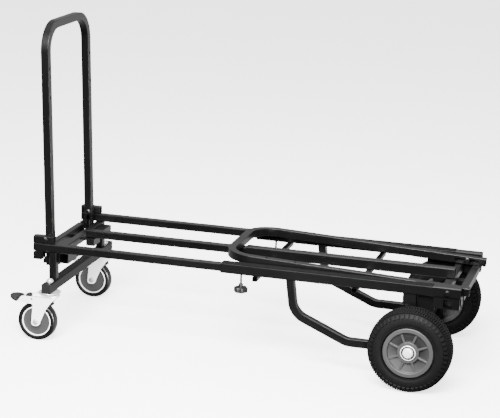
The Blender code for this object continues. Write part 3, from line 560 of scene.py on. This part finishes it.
framePaint = makePowderCoat("powderCoat", powderCoatLook)
handlePaint = makePowderCoat("handleCoat", handlePaintLook)
blackPlastic = makePlastic("blackPlastic", blackPlasticLook)
blackBolt = makeMetal("blackBolt", blackBoltLook)
zincPlate = makeMetal("zincPlate", zincPlateLook)
nutSteel = makeMetal("nutSteel", nutSteelLook)
chromePlate = makeMetal("chromePlate", chromePlateLook)
corePlastic = makePlastic("corePlastic", corePlasticLook)
ringPlastic = makePlastic("ringPlastic", ringPlasticLook)
gripGrit = makeGrip("gripGrit", gripLook)
beamPaint = makePowderCoat("beamCoat", beamPaintLook)
print("finishes made")


def finishPiece(piece, material, body, slotName, *nodes):
    applyModifier(piece, "flatFaces", "WEIGHTED_NORMAL", keep_sharp=True)
    piece.data.materials.clear()
    piece.data.materials.append(material)
    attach(piece, body)
    if nodes:
        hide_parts(*nodes)
    return piece


addCamera(cameraView)
addSurroundings()
addLamps()
addFloor()
print("studio set up")

# Rear wheels

wheel = {"centre": (0.586452, -0.2851, 0.130), "columns": 100, "zigzag": 0.3,
         "carcass": [(0.0783, 0.0340), (0.0803, 0.0344), (0.0816, 0.0412), (0.0830, 0.0434),
                     (0.0845, 0.0428), (0.0862, 0.0430), (0.0885, 0.0442), (0.0960, 0.0452),
                     (0.1068, 0.0440)],
         "shoulder": [(0.1138, 0.0404), (0.1216, 0.0336)],
         "treadEdges": [(0.1242, 0.0250), (0.1253, 0.0090)], "treadFrom": 0.119,
         "groove": 0.0009, "blockSlope": 0.0007, "blockHeight": 0.0047,
         "lugGroove": 0.0018, "lugSlope": 0.0012, "lugHeight": 0.0040}
hub = {"section": [(0.0085, -0.0395), (0.0325, -0.0395), (0.0338, -0.0380), (0.0348, -0.0285),
                   (0.0628, -0.0350), (0.0640, -0.0392), (0.0655, -0.0406), (0.0780, -0.0406),
                   (0.0780, 0.0408), (0.0768, 0.0424), (0.0655, 0.0426), (0.0642, 0.0412),
                   (0.0628, 0.0356), (0.0348, 0.0290), (0.0338, 0.0370), (0.0325, 0.0381),
                   (0.0085, 0.0381)],
       "ribs": 8, "ribWidth": 0.0070, "ribFrom": 0.0320, "ribTo": 0.0638, "ribLow": -0.0370,
       "ribHigh": 0.0376, "ribEdge": 0.0016, "edge": 0.0008}
axleCap = {"section": [(0, 0), (0.0236, 0), (0.0240, 0.0010), (0.0236, 0.0022), (0.0228, 0.0030),
                       (0.0216, 0.0032), (0.0212, 0.0008), (0.0165, 0.0008), (0.0161, 0.0036),
                       (0.0152, 0.0064), (0.0132, 0.0086), (0.0100, 0.0096), (0.0060, 0.0100),
                       (0, 0.0102)],
           "grooveShadeFrom": 0.0163, "grooveShadeTo": 0.0213, "seat": 0.0386, "edge": 0.0003}


def markTops(piece):                           # keeps which faces are the worn tops of the tread
    shape = bmesh.from_edit_mesh(piece.data)
    worn = shape.faces.layers.float.get("worn") or shape.faces.layers.float.new("worn")
    for face in shape.faces:
        if face.select:
            face[worn] = 1.0
    bmesh.update_edit_mesh(piece.data)


def makeTyre():
    side = wheel["carcass"] + wheel["shoulder"] + wheel["treadEdges"]
    section = side + [(radius, -along) for radius, along in reversed(side)]
    tyre = turnPiece("rearTyreNear", section, wheel["centre"], acrossY, upZ, wheel["columns"], closed=True)
    middle = Vector(wheel["centre"])
    pitch = 2 * math.pi / wheel["columns"]

    def spoke(face):
        return math.hypot(face.calc_center_median().x - middle.x, face.calc_center_median().z - middle.z)

    def isLug(face, half):
        spot = face.calc_center_median() - middle
        column = math.floor((math.atan2(spot.x, spot.z) % (2 * math.pi)) / pitch) + (spot.y > 0)
        return wheel["carcass"][-1][0] < spoke(face) < wheel["shoulder"][-1][0] and column // 2 % 2 == half

    for rank, (_, along) in enumerate(wheel["treadEdges"]):
        for sign in (-1, 1):
            place = middle.y + sign * along
            pick(tyre, "VERT", lambda vertex: abs(vertex.co.y - place) < 2 * hair
                 and math.hypot(vertex.co.x - middle.x, vertex.co.z - middle.z) > wheel["treadFrom"])
            turn = pitch * wheel["zigzag"] * (1 if rank % 2 else -1) * sign
            bpy.ops.transform.rotate(value=turn, orient_axis="Y", center_override=middle)
    pick(tyre, "FACE", lambda face: spoke(face) > wheel["shoulder"][-1][0])
    bpy.ops.mesh.inset(thickness=wheel["groove"], use_individual=True)
    bpy.ops.mesh.inset(thickness=wheel["blockSlope"], depth=wheel["blockHeight"], use_individual=True)
    markTops(tyre)
    for half in (0, 1):
        pick(tyre, "FACE", lambda face: isLug(face, half))
        bpy.ops.mesh.inset(thickness=wheel["lugGroove"])
        bpy.ops.mesh.inset(thickness=wheel["lugSlope"], depth=wheel["lugHeight"])
        markTops(tyre)
    return closeUp(tyre, smooth=40)


def makeHub():
    middle = Vector(wheel["centre"])
    disc = turnPiece("wheelHubNear", hub["section"], wheel["centre"], -acrossY, upZ, closed=True)
    roundEdges(disc, hub["edge"])
    rib = boxPiece("hubRib", (hub["ribFrom"], -hub["ribHigh"], -hub["ribWidth"] / 2),
                   (hub["ribTo"], -hub["ribLow"], hub["ribWidth"] / 2))
    pick(rib, "EDGE", lambda edge: edgeRuns(edge, alongX))
    bpy.ops.mesh.bevel(offset=hub["ribEdge"], segments=3, affect="EDGES")
    closeUp(rib, smooth=60)
    parts = [disc]
    for index in range(hub["ribs"]):
        twin = copyPiece(rib, f"hubRib{index}")
        angle = 2 * math.pi * (index + 0.5) / hub["ribs"]
        placePiece(twin, Matrix.Translation(middle) @ Matrix.Rotation(angle, 4, "Y"))
        parts.append(twin)
    bpy.data.objects.remove(rib, do_unlink=True)
    return joinPieces(parts, "wheelHubNear")


def makeAxleCap():
    seat = Vector(wheel["centre"]) - acrossY * axleCap["seat"]
    cap = turnPiece("axleCapNear", axleCap["section"], seat, -acrossY, upZ, 64)
    return roundEdges(cap, axleCap["edge"], limit=25)


# Painted shade: the faces in the groove between washer and dome get the dark blackBolt finish, which stands
# for the shade in the groove
def paintGrooveShade(cap, centre):
    cap.data.materials.append(blackBolt)
    for face in cap.data.polygons:
        radius = math.hypot(face.center.x - centre[0], face.center.z - centre[2])
        if axleCap["grooveShadeFrom"] < radius < axleCap["grooveShadeTo"]:
            face.material_index = 1


def makeRearWheels():
    shift = (0, -2 * wheel["centre"][1], 0)
    turned = (2 * wheel["centre"][0], 0, 0)
    tyre = makeTyre()
    disc = makeHub()
    cap = makeAxleCap()
    pieces = {"near": (tyre, disc, cap), "far": (copyPiece(tyre, "rearTyreFar", shift),
                                                 copyPiece(disc, "wheelHubFar", turned, math.pi),
                                                 copyPiece(cap, "axleCapFar", turned, math.pi))}
    for side, sign in sides.items():
        centre = (wheel["centre"][0], sign * abs(wheel["centre"][1]), wheel["centre"][2])
        rubber = makeRubber(f"tyreRubber_{side}", tyreLook, centre)
        plastic = makeHubPlastic(f"hubPlastic_{side}", hubLook, centre)
        tyre, disc, cap = pieces[side]
        finishPiece(tyre, rubber, f"rear_wheel_{side}", "tyre_rubber", f"rear_tyre_{side}")
        finishPiece(disc, plastic, f"rear_wheel_{side}", "hub_grey", f"wheel_hub_{side}")
        finishPiece(cap, chromePlate, "rear_frame", "chrome", f"axle_cap_{side}")
        paintGrooveShade(cap, centre)


makeRearWheels()
print("rear wheels made")

# Casters

caster = {"swivel": (-0.605048, -0.251), "axle": (-0.646048, -0.251, 0.0645), "forkTop": 0.1586,
          "forkInner": 0.0200, "forkWall": 0.0030, "ringEdge": 0.0004, "coreEdge": 0.0006}
casterTyre = [(0.0495, 0.0152), (0.0506, 0.0162), (0.0550, 0.0170), (0.0598, 0.0167), (0.0626, 0.0149),
              (0.0640, 0.0112), (0.0645, 0.0050)]
casterRing = [(0.0458, 0.0148), (0.0464, 0.0156), (0.0486, 0.0156), (0.0491, 0.0148)]
casterCore = [(0.0066, 0.0190), (0.0130, 0.0190), (0.0140, 0.0182), (0.0145, 0.0135), (0.0180, 0.0125),
              (0.0400, 0.0120), (0.0435, 0.0133), (0.0454, 0.0138)]
axleHead = [(0, 0.0276), (0.0040, 0.0273), (0.0060, 0.0264), (0.0067, 0.0252), (0.0068, 0.0243),
            (0.0092, 0.0241), (0.0095, 0.0234), (0.0060, 0.0234), (0.0060, 0.0100)]


def turnBothSides(name, half, **how):
    section = half + [(radius, -along) for radius, along in reversed(half)]
    return turnPiece(name, section, caster["axle"], acrossY, upZ, **how)


def makeCasterWheel():
    tyre = turnBothSides("casterTyreNear", casterTyre, closed=True)
    ring = turnBothSides("casterRingNear", casterRing, closed=True)
    roundEdges(ring, caster["ringEdge"])
    core = turnBothSides("casterCoreNear", casterCore, closed=True)
    roundEdges(core, caster["coreEdge"], limit=25)
    bolt = turnBothSides("casterAxleNear", axleHead, steps=48)
    return tyre, ring, core, bolt


forkSide = {"outline": [(-0.0505, 0.0060), (-0.0505, 0.0100), (-0.0905, 0.0112), (-0.1003, 0.0250),
                        (-0.0970, 0.0305), (-0.0505, 0.0350), (-0.0553, 0.0970), (-0.0553, 0.1080),
                        (-0.0267, 0.1080), (-0.0245, 0.0945), (-0.0072, 0.0520), (0.0035, 0.0368),
                        (0.0138, 0.0220), (0.0285, 0.0105), (0.0285, 0.0060)],
            "bends": [((-0.0553, 0.1080), 0.0105), ((-0.0267, 0.1080), 0.0125),
                      ((-0.0505, 0.0350), 0.0050), ((-0.0072, 0.0520), 0.0080),
                      ((-0.0905, 0.0112), 0.0040), ((-0.0970, 0.0305), 0.0020),
                      ((0.0138, 0.0220), 0.0060)],
            "bendWithin": 0.0015, "edge": 0.0007, "crownFrom": -0.0505, "crownTo": 0.0285,
            "crownDeep": 0.0090, "crownCorner": 0.014, "crownBend": 0.0065}


def makeFork():
    swivelX, swivelY = caster["swivel"]
    top = caster["forkTop"]
    outline = [(swivelX + x, top - drop) for x, drop in forkSide["outline"]]
    walls = []
    for side in (-1, 1):
        lowY = swivelY + (caster["forkInner"] if side > 0 else -caster["forkInner"] - caster["forkWall"])
        wall = drawPlate(f"forkWall{side + 1}", outline, lowY, caster["forkWall"])
        for (x, drop), radius in forkSide["bends"]:
            corner = Vector((swivelX + x, 0, top - drop))
            pick(wall, "EDGE", lambda edge: edgeRuns(edge, acrossY) and math.hypot(
                edgeMiddle(edge).x - corner.x, edgeMiddle(edge).z - corner.z) < forkSide["bendWithin"])
            bpy.ops.mesh.bevel(offset=radius, segments=6, affect="EDGES")
        closeUp(wall)
        walls.append(wall)
    half = caster["forkInner"] + caster["forkWall"]
    low = (swivelX + forkSide["crownFrom"], swivelY - half, top - forkSide["crownDeep"])
    crown = boxPiece("forkCrown", low, (swivelX + forkSide["crownTo"], swivelY + half, top))
    pick(crown, "EDGE", lambda edge: edgeRuns(edge, upZ) and edgeMiddle(edge).x > swivelX)
    bpy.ops.mesh.bevel(offset=forkSide["crownCorner"], segments=8, affect="EDGES")
    pick(crown, "EDGE", lambda edge: edgeMiddle(edge).z > top - hair)
    bpy.ops.mesh.bevel(offset=forkSide["crownBend"], segments=5, affect="EDGES")
    closeUp(crown)
    fork = joinPieces(walls + [crown], "casterForkNear")
    return roundEdges(fork, forkSide["edge"])


swivelRace = {"section": [(0.0060, 0.1592), (0.0270, 0.1592), (0.0290, 0.1600), (0.0300, 0.1618),
                          (0.0325, 0.1622), (0.0352, 0.1630), (0.0360, 0.1642), (0.0360, 0.1655),
                          (0.0348, 0.1670), (0.0060, 0.1670)], "edge": 0.0003}
domeNut = {"hexRadius": 0.0122, "low": 0.1991, "hexHigh": 0.2040, "hexEdge": 0.0009, "edge": 0.0005,
           "dome": [(0, 0.2101), (0.0040, 0.2097), (0.0072, 0.2083), (0.0093, 0.2062), (0.0099, 0.2040),
                    (0.0099, 0.2030), (0, 0.2030)]}


def makeSwivel():
    swivelX, swivelY = caster["swivel"]
    race = turnPiece("swivelRaceNear", swivelRace["section"], (swivelX, swivelY, 0), upZ, alongX, 72,
                     closed=True)
    roundEdges(race, swivelRace["edge"])
    middle = (domeNut["low"] + domeNut["hexHigh"]) / 2
    nut = addPrimitive("nutHex", "cylinder", vertices=6, radius=domeNut["hexRadius"],
                       depth=domeNut["hexHigh"] - domeNut["low"], location=(swivelX, swivelY, middle))
    pick(nut, "EDGE", lambda edge: edgeRuns(edge, upZ))
    bpy.ops.mesh.bevel(offset=domeNut["hexEdge"], segments=2, affect="EDGES")
    closeUp(nut)
    dome = turnPiece("nutDome", domeNut["dome"], (swivelX, swivelY, 0), upZ, alongX, 36)
    nut = roundEdges(joinPieces([nut, dome], "domeNutNear"), domeNut["edge"])
    return race, nut


# The pad is cut at the first shares of its radius and climbs by equal steps past the second ones
pedal = {"pivot": (-0.658548, -0.251, 0.14115), "padBase": -0.0485, "padRadius": 0.0333,
         "rootLow": -0.0104, "rootHigh": -0.0042, "cuts": (0.2, 0.4, 0.6, 0.8),
         "climbs": (0.1, 0.3, 0.5, 0.7, 0.9), "rise": 0.0072, "rim": 0.0055, "dome": 0.0030,
         "padEdge": 0.0014, "arm": ((-0.0490, -0.0140, -0.0092), (0.0560, 0.0140, -0.0045)),
         "spur": (0.0080, 0, -0.0120), "edge": 0.0012, "toggle": (-0.0200, 0.0052),
         "toggleRadius": 0.0066, "toggleWidth": 0.018, "toggleStretch": (0.0030, 0, 0.0006),
         "pinRadius": 0.0030, "pinLength": 0.0490, "pinEdge": 0.0006}


def makePedal():
    x, y, z = pedal["pivot"]
    baseX = x + pedal["padBase"]
    pad = addPrimitive("pedalPad", "cylinder", vertices=64, radius=pedal["padRadius"],
                       depth=pedal["rootHigh"] - pedal["rootLow"],
                       location=(baseX, y, z + (pedal["rootHigh"] + pedal["rootLow"]) / 2))
    editAll(pad)
    bpy.ops.mesh.bisect(plane_co=(baseX, y, z), plane_no=(1, 0, 0), use_fill=True, clear_outer=True)
    for share in pedal["cuts"]:
        editAll(pad)
        bpy.ops.mesh.bisect(plane_co=(baseX - pedal["padRadius"] * share, y, z), plane_no=(1, 0, 0))
    for share in pedal["climbs"]:
        pick(pad, "VERT", lambda vertex: vertex.co.x < baseX - pedal["padRadius"] * share)
        bpy.ops.transform.translate(value=(0, 0, pedal["rise"] / len(pedal["climbs"])))
    pick(pad, "FACE", lambda face: faceLooks(face, upZ, 0.7))
    bpy.ops.mesh.inset(thickness=pedal["rim"])
    bpy.ops.transform.translate(value=(0, 0, pedal["dome"]))
    closeUp(pad)
    roundEdges(pad, pedal["padEdge"], 3)
    low, high = pedal["arm"]
    arm = boxPiece("pedalArm", (x + low[0], y + low[1], z + low[2]), (x + high[0], y + high[1], z + high[2]))
    pick(arm, "FACE", lambda face: faceLooks(face, alongX))
    bpy.ops.mesh.extrude_region_move(TRANSFORM_OT_translate={"value": pedal["spur"]})
    closeUp(arm)
    roundEdges(arm, pedal["edge"])
    toggleX, toggleZ = x + pedal["toggle"][0], z + pedal["toggle"][1]
    toggle = addPrimitive("pedalToggle", "cylinder", vertices=24, radius=pedal["toggleRadius"],
                          depth=pedal["toggleWidth"], location=(toggleX, y, toggleZ),
                          rotation=(math.pi / 2, 0, 0))
    pick(toggle, "VERT", lambda vertex: vertex.co.x > toggleX)
    bpy.ops.transform.translate(value=pedal["toggleStretch"])
    closeUp(toggle)
    roundEdges(toggle, pedal["edge"])
    pin = addPrimitive("pedalPin", "cylinder", vertices=20, radius=pedal["pinRadius"],
                       depth=pedal["pinLength"], location=(x, y, z), rotation=(math.pi / 2, 0, 0))
    pick(pin, "FACE", lambda face: faceLooks(face, acrossY) or faceLooks(face, -acrossY))
    bpy.ops.mesh.bevel(offset=pedal["pinEdge"], segments=2, affect="EDGES")
    closeUp(pin)
    return joinPieces([pad, arm, toggle, pin], "brakePedalNear")


def makeCasters():
    shift = (0, -2 * caster["swivel"][1], 0)
    tyre, ring, core, bolt = makeCasterWheel()
    fork = makeFork()
    race, nut = makeSwivel()
    rocker = makePedal()
    # A piece without a finish gets a rubber of its own, which has its rings about its own centre
    rows = [(tyre, None, "caster_wheel", "tyre_rubber", "caster_tyre"),
            (ring, ringPlastic, "caster_wheel", "ring_white", "caster_ring"),
            (core, corePlastic, "caster_wheel", "core_grey", "caster_core"),
            (bolt, nutSteel, "caster_fork", "zinc", "caster_axle"),
            (fork, zincPlate, "caster_fork", "zinc", "caster_fork"),
            (race, nutSteel, "front", "zinc", "swivel_race"),
            (nut, nutSteel, "front", "zinc", "king_bolt"),
            (rocker, blackPlastic, "brake_pedal", "knob_black", "brake_pedal")]
    for piece, material, body, slotName, node in rows:
        farPiece = copyPiece(piece, piece.name.replace("Near", "Far"), shift)
        for side, one in (("near", piece), ("far", farPiece)):
            centre = (caster["axle"][0], sides[side] * abs(caster["axle"][1]), caster["axle"][2])
            skin = material or makeRubber(f"casterRubber_{side}", casterTyreLook, centre)
            rider = "front_frame" if body == "front" else f"{body}_{side}"
            finishPiece(one, skin, rider, slotName, f"{node}_{side}")


makeCasters()
print("casters made")

# Plugs in the ends of the caster beam

beamEnd = {"middle": (-0.605048, 0, 0.1830), "reach": 0.2840, "side": 0.0310, "lip": 0.0014,
           "depth": 0.012, "taper": 0.80, "edge": 0.0007}


def makeEndPlug(name):
    half = beamEnd["side"] / 2
    plug = boxPiece(name, (-half, -half, -beamEnd["depth"]), (half, half, 0))
    pick(plug, "FACE", lambda face: faceLooks(face, upZ))
    bpy.ops.mesh.extrude_region_move(TRANSFORM_OT_translate={"value": (0, 0, beamEnd["lip"])})
    pick(plug, "VERT", lambda vertex: vertex.co.z < -hair)
    bpy.ops.transform.resize(value=(beamEnd["taper"], beamEnd["taper"], 1))
    closeUp(plug)
    return roundEdges(plug, beamEnd["edge"])


def makeBeamPlugs():
    plug = makeEndPlug("beamPlug")
    for side, sign in sides.items():
        twin = copyPiece(plug, f"beamPlug{side.capitalize()}")
        x, _, z = beamEnd["middle"]
        placePiece(twin, Matrix.Translation((x, sign * beamEnd["reach"], z))
                   @ Matrix.Rotation(-sign * math.pi / 2, 4, "X"))
        finishPiece(twin, blackPlastic, "front_frame", "knob_black")
    bpy.data.objects.remove(plug, do_unlink=True)


makeBeamPlugs()
print("plugs made")

# Lock knobs

# A dent pushes the rim within its reach towards the middle by what is missing from its share
knob = {"centre": (0.024452, -0.211), "headLow": 0.2260, "headHigh": 0.2425, "headRadius": 0.0218,
        "lobes": 6, "lobeSteps": 12, "dents": ((0.0060, 0.955), (0.0040, 0.955), (0.0022, 0.97)),
        "dentMargin": 0.0006, "dishRim": 0.0050, "dishDepth": 0.0012, "edge": 0.0026,
        "stem": [(0, 0.2892), (0.0030, 0.2892), (0.00325, 0.2886), (0.00325, 0.2540), (0.0062, 0.2540),
                 (0.0068, 0.2532), (0.0068, 0.2440), (0.0100, 0.2425), (0.0100, 0.2400), (0, 0.2400)]}


def makeKnobs():
    x, y = knob["centre"]
    low, high, radius = knob["headLow"], knob["headHigh"], knob["headRadius"]
    head = addPrimitive("knobHead", "cylinder", vertices=knob["lobes"] * knob["lobeSteps"], radius=radius,
                        depth=high - low, location=(x, y, (low + high) / 2))
    for index in range(knob["lobes"]):
        angle = 2 * math.pi * (index + 0.5) / knob["lobes"]
        spot = Vector((x + math.cos(angle) * radius, y + math.sin(angle) * radius, 0))
        for reach, share in knob["dents"]:
            pick(head, "VERT", lambda vertex: math.hypot(
                vertex.co.x - spot.x, vertex.co.y - spot.y) < reach + knob["dentMargin"])
            push = (Vector((x, y, 0)) - spot) * (1 - share)
            bpy.ops.transform.translate(value=push)
            spot = spot + push
    pick(head, "FACE", lambda face: faceLooks(face, -upZ))
    bpy.ops.mesh.inset(thickness=knob["dishRim"])
    bpy.ops.transform.translate(value=(0, 0, knob["dishDepth"]))
    closeUp(head, smooth=50)
    roundEdges(head, knob["edge"], 4, limit=50)
    stem = turnPiece("knobStem", knob["stem"], (x, y, 0), upZ, alongX, 40)
    near = joinPieces([head, stem], "lockKnobNear")
    far = copyPiece(near, "lockKnobFar", (0, -2 * y, 0))
    finishPiece(near, blackPlastic, "lock_knob_near", "knob_black", "lock_knob_near")
    finishPiece(far, blackPlastic, "lock_knob_far", "knob_black", "lock_knob_far")


makeKnobs()
print("knobs made")

# Handles

handle = {"legY": 0.174, "reach": 0.719, "tail": 0.061, "slot": 0.070, "slotRadius": 0.0054,
          "holes": (0.492, 0.5855), "holeRadius": 0.0045, "cutterLength": 0.06,
          "tube": {"side": 0.025, "corner": 0.0012, "wall": 0.0022, "bend": 0.0825, "steps": 16},
          "front": {"pivot": (-0.635048, 0, 0.3294), "angle": -1.68, "lift": -0.035},
          "back": {"pivot": (0.679102, 0, 0.3002), "angle": -87.74, "lift": 0.0}}


def makeHandle():
    legY, reach, tail = handle["legY"], handle["reach"], handle["tail"]
    corners = ((0, -legY, -tail), (0, -legY, reach), (0, legY, reach), (0, legY, -tail))
    loop = tubeAlong("handleLoop", handle["tube"], corners)
    length = handle["cutterLength"]
    for sign in (-1, 1):
        for place in handle["holes"]:
            hole = addPrimitive("hole", "cylinder", vertices=32, radius=handle["holeRadius"], depth=length,
                                location=(0, sign * legY, place), rotation=(0, math.pi / 2, 0))
            cutWith(loop, hole)
        slot = addPrimitive("slot", "cylinder", vertices=32, radius=handle["slotRadius"], depth=length,
                            location=(0, sign * legY, handle["slot"] / 2), rotation=(math.pi / 2, 0, 0))
        pick(slot, "VERT", lambda vertex: vertex.co.z < handle["slot"] / 2 - hair)
        bpy.ops.transform.translate(value=(0, 0, -handle["slot"]))
        cutWith(loop, slot)
    return closeUp(loop)


def makeHandles():
    loop = makeHandle()
    for place, spot in (("front", handle["front"]), ("back", handle["back"])):
        twin = copyPiece(loop, f"handle{place.capitalize()}")
        home = Matrix.Translation(spot["pivot"]) @ Matrix.Rotation(math.radians(spot["angle"]), 4, "Y")
        home = home @ Matrix.Translation((0, 0, spot["lift"]))
        placePiece(twin, home)
        finishPiece(twin, handlePaint, f"{place}_handle", "handle_paint", f"handle_{place}")
    bpy.data.objects.remove(loop, do_unlink=True)


makeHandles()
print("handles made")

# Braces under the deck

strut = {"tube": {"side": 0.025, "corner": 0.0012, "wall": 0.0022, "bend": 0.065, "steps": 10},
         "route": ((0.184952, 0.2857), (0.199452, 0.1790), (0.372552, 0.1045), (0.564652, 0.1045)),
         "nearY": -0.211}


def makeStruts():
    y = strut["nearY"]
    near = tubeAlong("strutNear", strut["tube"], [(x, y, z) for x, z in strut["route"]], -upZ)
    far = copyPiece(near, "strutFar", (0, -2 * y, 0))
    finishPiece(near, framePaint, "rear_frame", "rail_paint", "strut_near")
    finishPiece(far, framePaint, "rear_frame", "rail_paint", "strut_far")


makeStruts()
print("braces made")

# Grip strips on the outer rails

gripStrip = {"low": (-0.0365, -0.2267, 0.31815), "high": (0.6345, -0.1953, 0.3191), "edge": 0.0003}


def makeGripStrips():
    strip = boxPiece("gripStripNear", gripStrip["low"], gripStrip["high"])
    roundEdges(strip, gripStrip["edge"])
    twin = copyPiece(strip, "gripStripFar")
    placePiece(twin, Matrix.Diagonal((1, -1, 1, 1)))
    closeUp(twin)
    finishPiece(strip, gripGrit, "rear_frame", "grip_black", "grip_strip_near")
    finishPiece(twin, gripGrit, "rear_frame", "grip_black", "grip_strip_far")


makeGripStrips()
print("grips made")

# Finishes on the solids that stay

nodeFinishes = {"axle_spacer": blackBolt, "caster_beam": beamPaint}
for name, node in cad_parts.items():
    if node.hide_render:
        continue
    choice = next((nodeFinishes[key] for key in nodeFinishes if name.startswith(key)), framePaint)
    node.data.materials.clear()
    node.data.materials.append(choice)
print("solids painted")
